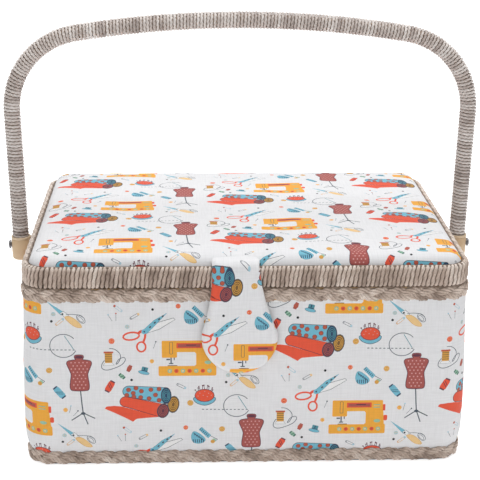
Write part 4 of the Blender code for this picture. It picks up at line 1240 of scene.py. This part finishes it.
def tab():
    outline = along_edges(tab_outline(), 2.0 * MM)
    depths = (0.25 * MM, 0.8 * MM, 1.6 * MM, 2.8 * MM, 4.2 * MM)
    spots = [*rings_inside(outline, depths), *grid_inside(outline, 2.5 * MM, 5.2 * MM)]
    flat, corners, inks = print_cloth(outline, spots, *TAB_REPEAT)
    plain = flat[corners][..., 1].min(1) > TAB_TOP + TAB_PLAIN
    inks = ["ground" if bare else ink for ink, bare in zip(inks, plain)]
    front = printed_mesh(flat, corners, inks, lambda f: tab_surface(f, TAB_THICK, TAB_ROLL, TAB_LIFT))
    obj = piece("tab_print", front, PRINT, None, "tab_front", "tab_hem")

    inner = grow(outline, -0.5 * MM)
    spots = [*rings_inside(inner, (1 * MM, 2.5 * MM)), *grid_inside(inner, 3 * MM, 3 * MM)]
    flat, corners, _ = print_cloth(inner, spots, (9, 9), (1, 0), (0, 1))
    back = mesh_of(tab_surface(flat, 0.0, TAB_ROLL, TAB_LIFT), corners[:, ::-1], flat)
    lining = piece("tab_lining", back, LINING, None, "tab_back")
    for part in (obj, lining):
        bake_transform(part)


tab()

# --- Caps, bolts and hinges ------


def lathe(profile, centre, steps=48):
    """A round piece about a vertical line, from (radius, height) pairs run from one end to the other."""
    turn = tau * np.arange(steps) / steps
    rows = [np.column_stack([r * np.cos(turn), r * np.sin(turn), np.full(steps, z)]) for r, z in profile]
    return mesh_of(np.vstack(rows) + np.array(centre), quads(len(profile), steps, False, True)[:, ::-1])


def rounded_corner(radius, height, fillet, upward, steps=4):
    """Profile points round an outer edge: along the top of a piece if upward, else along its foot."""
    turns = [pi / 2 * i / steps for i in range(steps + 1)]
    side = 1 if upward else -1
    points = [(radius - fillet + fillet * cos(t), height - side * fillet + side * fillet * sin(t)) for t in turns]
    return points if upward else points[::-1]


def handle_caps():
    """Each cap is a moulded cup with a lighter collar round the mouth that the handle's leg enters."""
    for side in ("left", "right"):
        low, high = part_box(f"handle_cap_{side}")
        centre = ((low.x + high.x) / 2, 0, 0)
        radius, collar, middle, inside_top = high.y - 0.35 * MM, 2.2 * MM, 0.2 * MM, 0.8 * MM
        split = high.z - collar
        foot = rounded_corner(radius * 0.97, low.z, 1.6 * MM, False)
        cup = [(middle, low.z), *foot, (radius, low.z + 7 * MM), (radius, split)]
        cup += [(radius - 0.4 * MM, split + 0.3 * MM), (radius - 0.5 * MM, split + inside_top)]
        cup += [(middle, split + inside_top)]
        piece(f"cap_{side}", lathe(cup, centre), CAP, "handle", f"handle_cap_{side}")
        edge, mouth = radius + 0.15 * MM, WRAP_HIGH.y + 0.15 * MM
        ring = [(mouth - 0.4 * MM, split + 0.3 * MM), *rounded_corner(edge, split + 0.2 * MM, 0.5 * MM, False)]
        ring += [*rounded_corner(edge, high.z, 0.9 * MM, True), (mouth, high.z - 0.1 * MM)]
        ring += [(mouth - 0.3 * MM, high.z - 0.8 * MM), (mouth - 0.4 * MM, split + 0.3 * MM)]
        piece(f"cap_collar_{side}", lathe(ring, centre), CAP_RIM, "handle")


CREASE, SHARP = radians(35), radians(45)  # from these angles an edge is rounded, and drawn sharp


def soften(node, name, finish, body, width, segments=2):
    """A CAD piece with its flats made whole again and its edges rounded."""
    mesh = bpy.data.objects[node].data.copy()
    mesh.materials.clear()
    with editing(mesh) as work:
        bmesh.ops.remove_doubles(work, verts=work.verts, dist=0.01 * MM)
        bmesh.ops.dissolve_limit(work, angle_limit=radians(1), verts=work.verts, edges=work.edges)
    obj = piece(name, mesh, finish, body, node)
    rounding = obj.modifiers.new("rounding", "BEVEL")
    rounding.width, rounding.segments, rounding.limit_method = width, segments, "ANGLE"
    rounding.angle_limit, rounding.use_clamp_overlap = CREASE, True
    made = bpy.data.meshes.new_from_object(evaluated(obj))
    obj.modifiers.clear()
    obj.data = made
    made.shade_smooth()
    made.set_sharp_from_angle(angle=SHARP)


def slotted_screw(node, name, body):
    """A small domed brass screw with a driver slot, facing back."""
    low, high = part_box(node)
    centre = (low + high) / 2
    radius, dome = (high.x - low.x) / 2, 1.1 * MM
    turns = [pi / 2 * i / 6 for i in range(7)]
    profile = [(max(radius * cos(t), 0.02 * MM), dome * sin(t)) for t in turns]
    mesh = lathe([(0.02 * MM, -0.2 * MM), (radius, -0.2 * MM), *profile], (0, 0, 0), 24)
    slot_half, slot_depth = 0.32 * MM, 0.45 * MM
    with editing(mesh) as work:
        for vert in work.verts:
            if abs(vert.co.x) < slot_half and vert.co.z > 0.3 * dome:
                vert.co.z -= slot_depth
        work.transform(Matrix.Rotation(-pi / 2, 4, "X"))
        bmesh.ops.translate(work, verts=work.verts, vec=(centre.x, high.y - dome, centre.z))
    piece(name, mesh, BRASS, body, node)


# Small hard parts, left and right: node, name, finish, body and the width of the rounding.
SMALL_PARTS = (
    ("pivot_bolt", "bolt", STEEL, "pivot_bolts", 0.25), ("pivot_nut", "nut", STEEL, "pivot_bolts", 0.25),
    ("pivot_washer", "washer", STEEL, "pivot_bolts", 0.15), ("pivot_spacer", "spacer", CAP, "pivot_bolts", 0.3),
    ("hinge_body_leaf", "body_leaf", BRASS, "box", 0.18), ("hinge_lid_leaf", "lid_leaf", BRASS, "lid", 0.18),
    ("hinge_pin", "pin", BRASS, "box", 0.2),
)


def fittings():
    for side in ("left", "right"):
        for node, name, finish, body, width in SMALL_PARTS:
            soften(f"{node}_{side}", f"{name}_{side}", finish, body, width * MM)
        for number, (owner, body) in product((1, 2), (("body", "box"), ("lid", "lid"))):
            slotted_screw(f"hinge_{owner}_screw_{side}_{number}", f"{owner}_screw_{side}_{number}", body)


handle_caps()
fittings()

# --- Boards, trays and the hidden frame ------


def carried():
    """CAD pieces that keep their own shape: better materials go into their slots."""
    groups = (
        (FIBREBOARD, ("front_board", "back_board", "left_board", "right_board", "base_board", "lid_board")),
        (STRIP, ("lid_rim_strip",)),
        (WOOD[0], ("corner_post_front_left", "corner_post_front_right", "corner_post_back_left",
                   "corner_post_back_right", "handle_core")),
        (STEEL[0], ("body_magnet", "tab_magnet")),
    )
    for material, nodes in groups:
        for node in nodes:
            slots = bpy.data.objects[node].material_slots
            for slot in slots:
                slot.material = material
            if not slots:
                bpy.data.objects[node].data.materials.append(material)


COVER_GAP = 2.2 * MM            # from the cover down to the foam


def lid_foam():
    """The foam under the lid's cover: flat below, and crowned just short of the cloth above."""
    low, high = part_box("lid_pad")
    track = Track(high.x - 0.6 * MM, high.y - 0.6 * MM, COVER_RADIUS - 1.1 * MM)
    point, _ = track.at(track.stops(6 * MM, 3 * MM))
    rows = [np.column_stack([point * scale, np.full(len(point), low.z)]) for scale in (0.3, 1)]
    for shrink in (1.0, 0.995, 0.985, 0.97, 0.95, 0.92, 0.88, 0.8, 0.65, 0.3):
        x, y = point[:, 0] * shrink, point[:, 1] * shrink
        top = lid_height(x, y) - np.maximum(lid_lift(x, y), 0) - COVER_GAP
        rows.append(np.column_stack([point * shrink, np.maximum(top, low.z + 0.4 * MM)]))
    mesh = mesh_of(np.vstack(rows), quads(len(rows), len(point), True, True))
    piece("lid_foam", mesh, FOAM, "lid", "lid_pad")


def firm_pieces():
    soften("base_felt", "felt_base", FELT, "box", 0.3 * MM)
    soften("lid_frame", "lid_inner_frame", WOOD, "lid", 0.8 * MM, 3)
    soften("lower_tray", "tray_below", TRAY, "lower_tray", 0.45 * MM)
    soften("upper_tray", "tray_above", TRAY, "upper_tray", 0.45 * MM)
    for side in ("left", "right"):
        soften(f"tray_ledge_{side}", f"ledge_{side}", WOOD, "box", 0.6 * MM, 3)
    lid_foam()


carried()
firm_pieces()

# --- Lining, lid lining, pocket and pincushion ------


def bead(name, track, z, radius, finish, body, sides=10):
    """A round cord of cloth along a track."""
    place = track.stops(5 * MM, 2 * MM)
    point, normal = track.at(place)
    turn = tau * np.arange(sides) / sides
    ring = normal[:, None] * np.cos(turn)[None, :, None]
    level = np.broadcast_to(z + radius * np.sin(turn), (len(place), sides))
    points = np.dstack([point[:, None] + radius * ring, level]).reshape(-1, 3)
    return piece(name, mesh_of(points, quads(len(place), sides, True, True)[:, ::-1]), finish, body)


def lined_inside():
    """Cotton glued inside the walls: slack enough to ripple, and turned in at the foot."""
    gap, hem, floor_gap = 0.3 * MM, 8 * MM, 2.5 * MM
    half_x, half_y = LINING_HIGH.x - gap, LINING_HIGH.y - gap
    track = Track(half_x, half_y, LINING_RADIUS)
    columns = track.stops(4 * MM, 2 * MM)
    drop = LINING_HIGH.z - LINING_LOW.z
    rows = np.linspace(0, drop + hem, 34)
    u, v = grid(columns, rows)
    point, normal = track.at(u)
    slack = smoothstep(v / 0.03) * smoothstep((drop - v) / 0.03)
    ripple = np.sin(u * 95 + 1.5 * np.sin(v * 30)) + 0.6 * np.sin(u * 41 + v * 22)
    inward = (0.5 + 0.28 * ripple) * MM * slack + np.clip(v - drop + 3 * MM, 0, None) * 0.9
    z = LINING_HIGH.z - np.minimum(v, drop - 0.8 * MM) + 0.4 * MM * smoothstep((v - drop) / 0.003)
    points = np.column_stack([point - normal * inward[:, None], z])
    mesh = mesh_of(points, quads(len(columns), len(rows), True, False), np.column_stack([u, v]))
    obj = piece("wall_lining", mesh, LINING, "box", "body_lining")
    floor = (half_x - floor_gap, half_y - floor_gap)
    flat_panel("floor_lining", floor, LINING_LOW.z, 0.9 * MM, 1, "box", "base_board")
    bead("lining_piping", track, LINING_HIGH.z - 0.5 * MM, 0.8 * MM, PIPING, "box")


def flat_panel(name, half, level, rise, way, body, board, *nodes):
    """A covered panel with softly rounded edges, laid on a board; way is 1 facing up and -1 facing down. The board
    argument is not used.
    """
    xs, ys = np.linspace(-half[0], half[0], 70), np.linspace(-half[1], half[1], 50)
    x, y = grid(xs, ys)
    edge = np.minimum(half[0] - np.abs(x), half[1] - np.abs(y))
    ripple = 0.12 * MM * np.sin(x * 70 + 1) * np.sin(y * 64) * smoothstep(edge / 0.02)
    swell = rise * (1 - np.exp(-edge / (4 * MM))) + ripple
    points = np.column_stack([x, y, level + way * swell])
    mesh = mesh_of(points, quads(len(xs), len(ys))[:, ::way], np.column_stack([x, y]))
    obj = piece(name, mesh, LINING, body, *nodes)


def lid_inside():
    low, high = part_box("lid_lining")
    half = (high.x - 0.4 * MM, high.y - 0.4 * MM)
    flat_panel("lid_lining_panel", half, high.z - 0.2 * MM, 1.6 * MM, -1, "lid", "lid_board", "lid_lining")
    bead("lid_lining_piping", Track(*half, 4 * MM), low.z + 1.2 * MM, 0.8 * MM, PIPING, "lid")


def pocket():
    """A gathered pocket with an elastic mouth, sewn on under the lid."""
    low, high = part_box("lid_pocket")
    columns, rows, folds, bulge = 150, 46, 17, 0.35
    u, v = grid(np.linspace(0, 1, columns), np.linspace(0, 1, rows))
    belly = np.sin(pi * np.clip(u, 0, 1)) ** bulge * (1 - np.exp(-v * 9)) * (1 - 0.45 * v**3)
    gather = np.sin(u * tau * folds + 0.8 * np.sin(v * 5 + u * 9)) * (0.3 + 0.7 * v**1.5)
    gather = gather * (0.75 + 0.25 * np.sin(u * 31)) * np.minimum(1, 12 * np.minimum(u, 1 - u))
    depth, board = high.z - low.z, high.z - 0.1 * MM
    z = board - (depth - 1.6 * MM) * belly - 1.1 * MM * gather * np.minimum(1, 14 * v)
    x = low.x + (high.x - low.x) * u
    y = high.y - (high.y - low.y) * v + 0.6 * MM * np.sin(u * tau * folds) * v**2
    points = np.column_stack([x, y, np.minimum(z, board)])
    mesh = mesh_of(points, quads(columns, rows), np.column_stack([x * 1.3, y]))
    obj = piece("gathered_pocket", mesh, LINING, "lid", "lid_pocket")
    width, length = high.x - low.x, high.y - low.y
    band = bpy.data.curves.new("band", "CURVE")
    band.dimensions, band.bevel_depth, band.use_fill_caps = "3D", 0.9 * MM, True
    spline = band.splines.new("POLY")
    spline.points.add(columns - 1)
    mouth = board - (depth - 1.2 * MM) * 0.55 * np.sin(pi * np.linspace(0, 1, columns)) ** bulge
    for i, point in enumerate(spline.points):
        wave = 1.6 * MM * sin(i * tau * folds / columns)
        point.co = (low.x + width * i / (columns - 1), low.y + 0.9 * MM, mouth[i] - 0.4 * MM + wave * 0.5, 1)
    elastic = in_scene("elastic", band)
    mesh = bpy.data.meshes.new_from_object(evaluated(elastic))
    bpy.data.objects.remove(elastic)
    mesh.materials.clear()
    mesh.shade_smooth()
    hem = piece("pocket_elastic", mesh, PIPING, "lid")


def pincushion():
    """A stuffed pincushion: it swells under the lid and is sewn down round its edge."""
    low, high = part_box("lid_pincushion")
    inset, depth, corner, hang, room = 2.5 * MM, high.z - low.z, 12 * MM, 1.5 * MM, 0.05 * MM
    half_x, half_y = (high.x - low.x) / 2 - inset, (high.y - low.y) / 2 - inset
    middle = ((low.x + high.x) / 2, (low.y + high.y) / 2)
    rings, steps = 28, 88
    track = Track(half_x, half_y, corner)
    point, _ = track.at(track.length * np.arange(steps) / steps)
    rows = []
    for t in np.arange(rings + 1) / rings:
        sag = (depth - 2.6 * MM) * 0.5 * (1 - cos(pi * t))
        scale = max(sin(pi * t) ** 0.5, 0.02)
        rows.append(np.column_stack([point * scale + middle, np.full(steps, high.z - 0.4 * MM - sag)]))
    mesh = mesh_of(np.vstack(rows), quads(len(rows), steps, False, True))
    obj = piece("stuffed_pincushion", mesh, CUSHION, "lid", "lid_pincushion")
    top = high.z - 2.4 * MM
    inflate(obj, pressure=2.0, cap=2.2 * MM, pinned=lambda points: points[:, 2] > top)
    points = points_of(mesh)
    points[:, 2] = np.clip(points[:, 2], low.z - hang, high.z - room)
    move_points(mesh, points)
    with editing(mesh) as work:
        bmesh.ops.holes_fill(work, edges=work.edges, sides=0)
    mesh.shade_smooth()
    out = 1.2 * MM
    seam = Track(half_x + out, half_y + out, corner + 1 * MM)
    cord = bead("pincushion_piping", seam, high.z - 1.3 * MM, 0.9 * MM, CUSHION_PIPING, "lid")
    cord.data.transform(Matrix.Translation((*middle, 0)))


lined_inside()
lid_inside()
pocket()
pincushion()
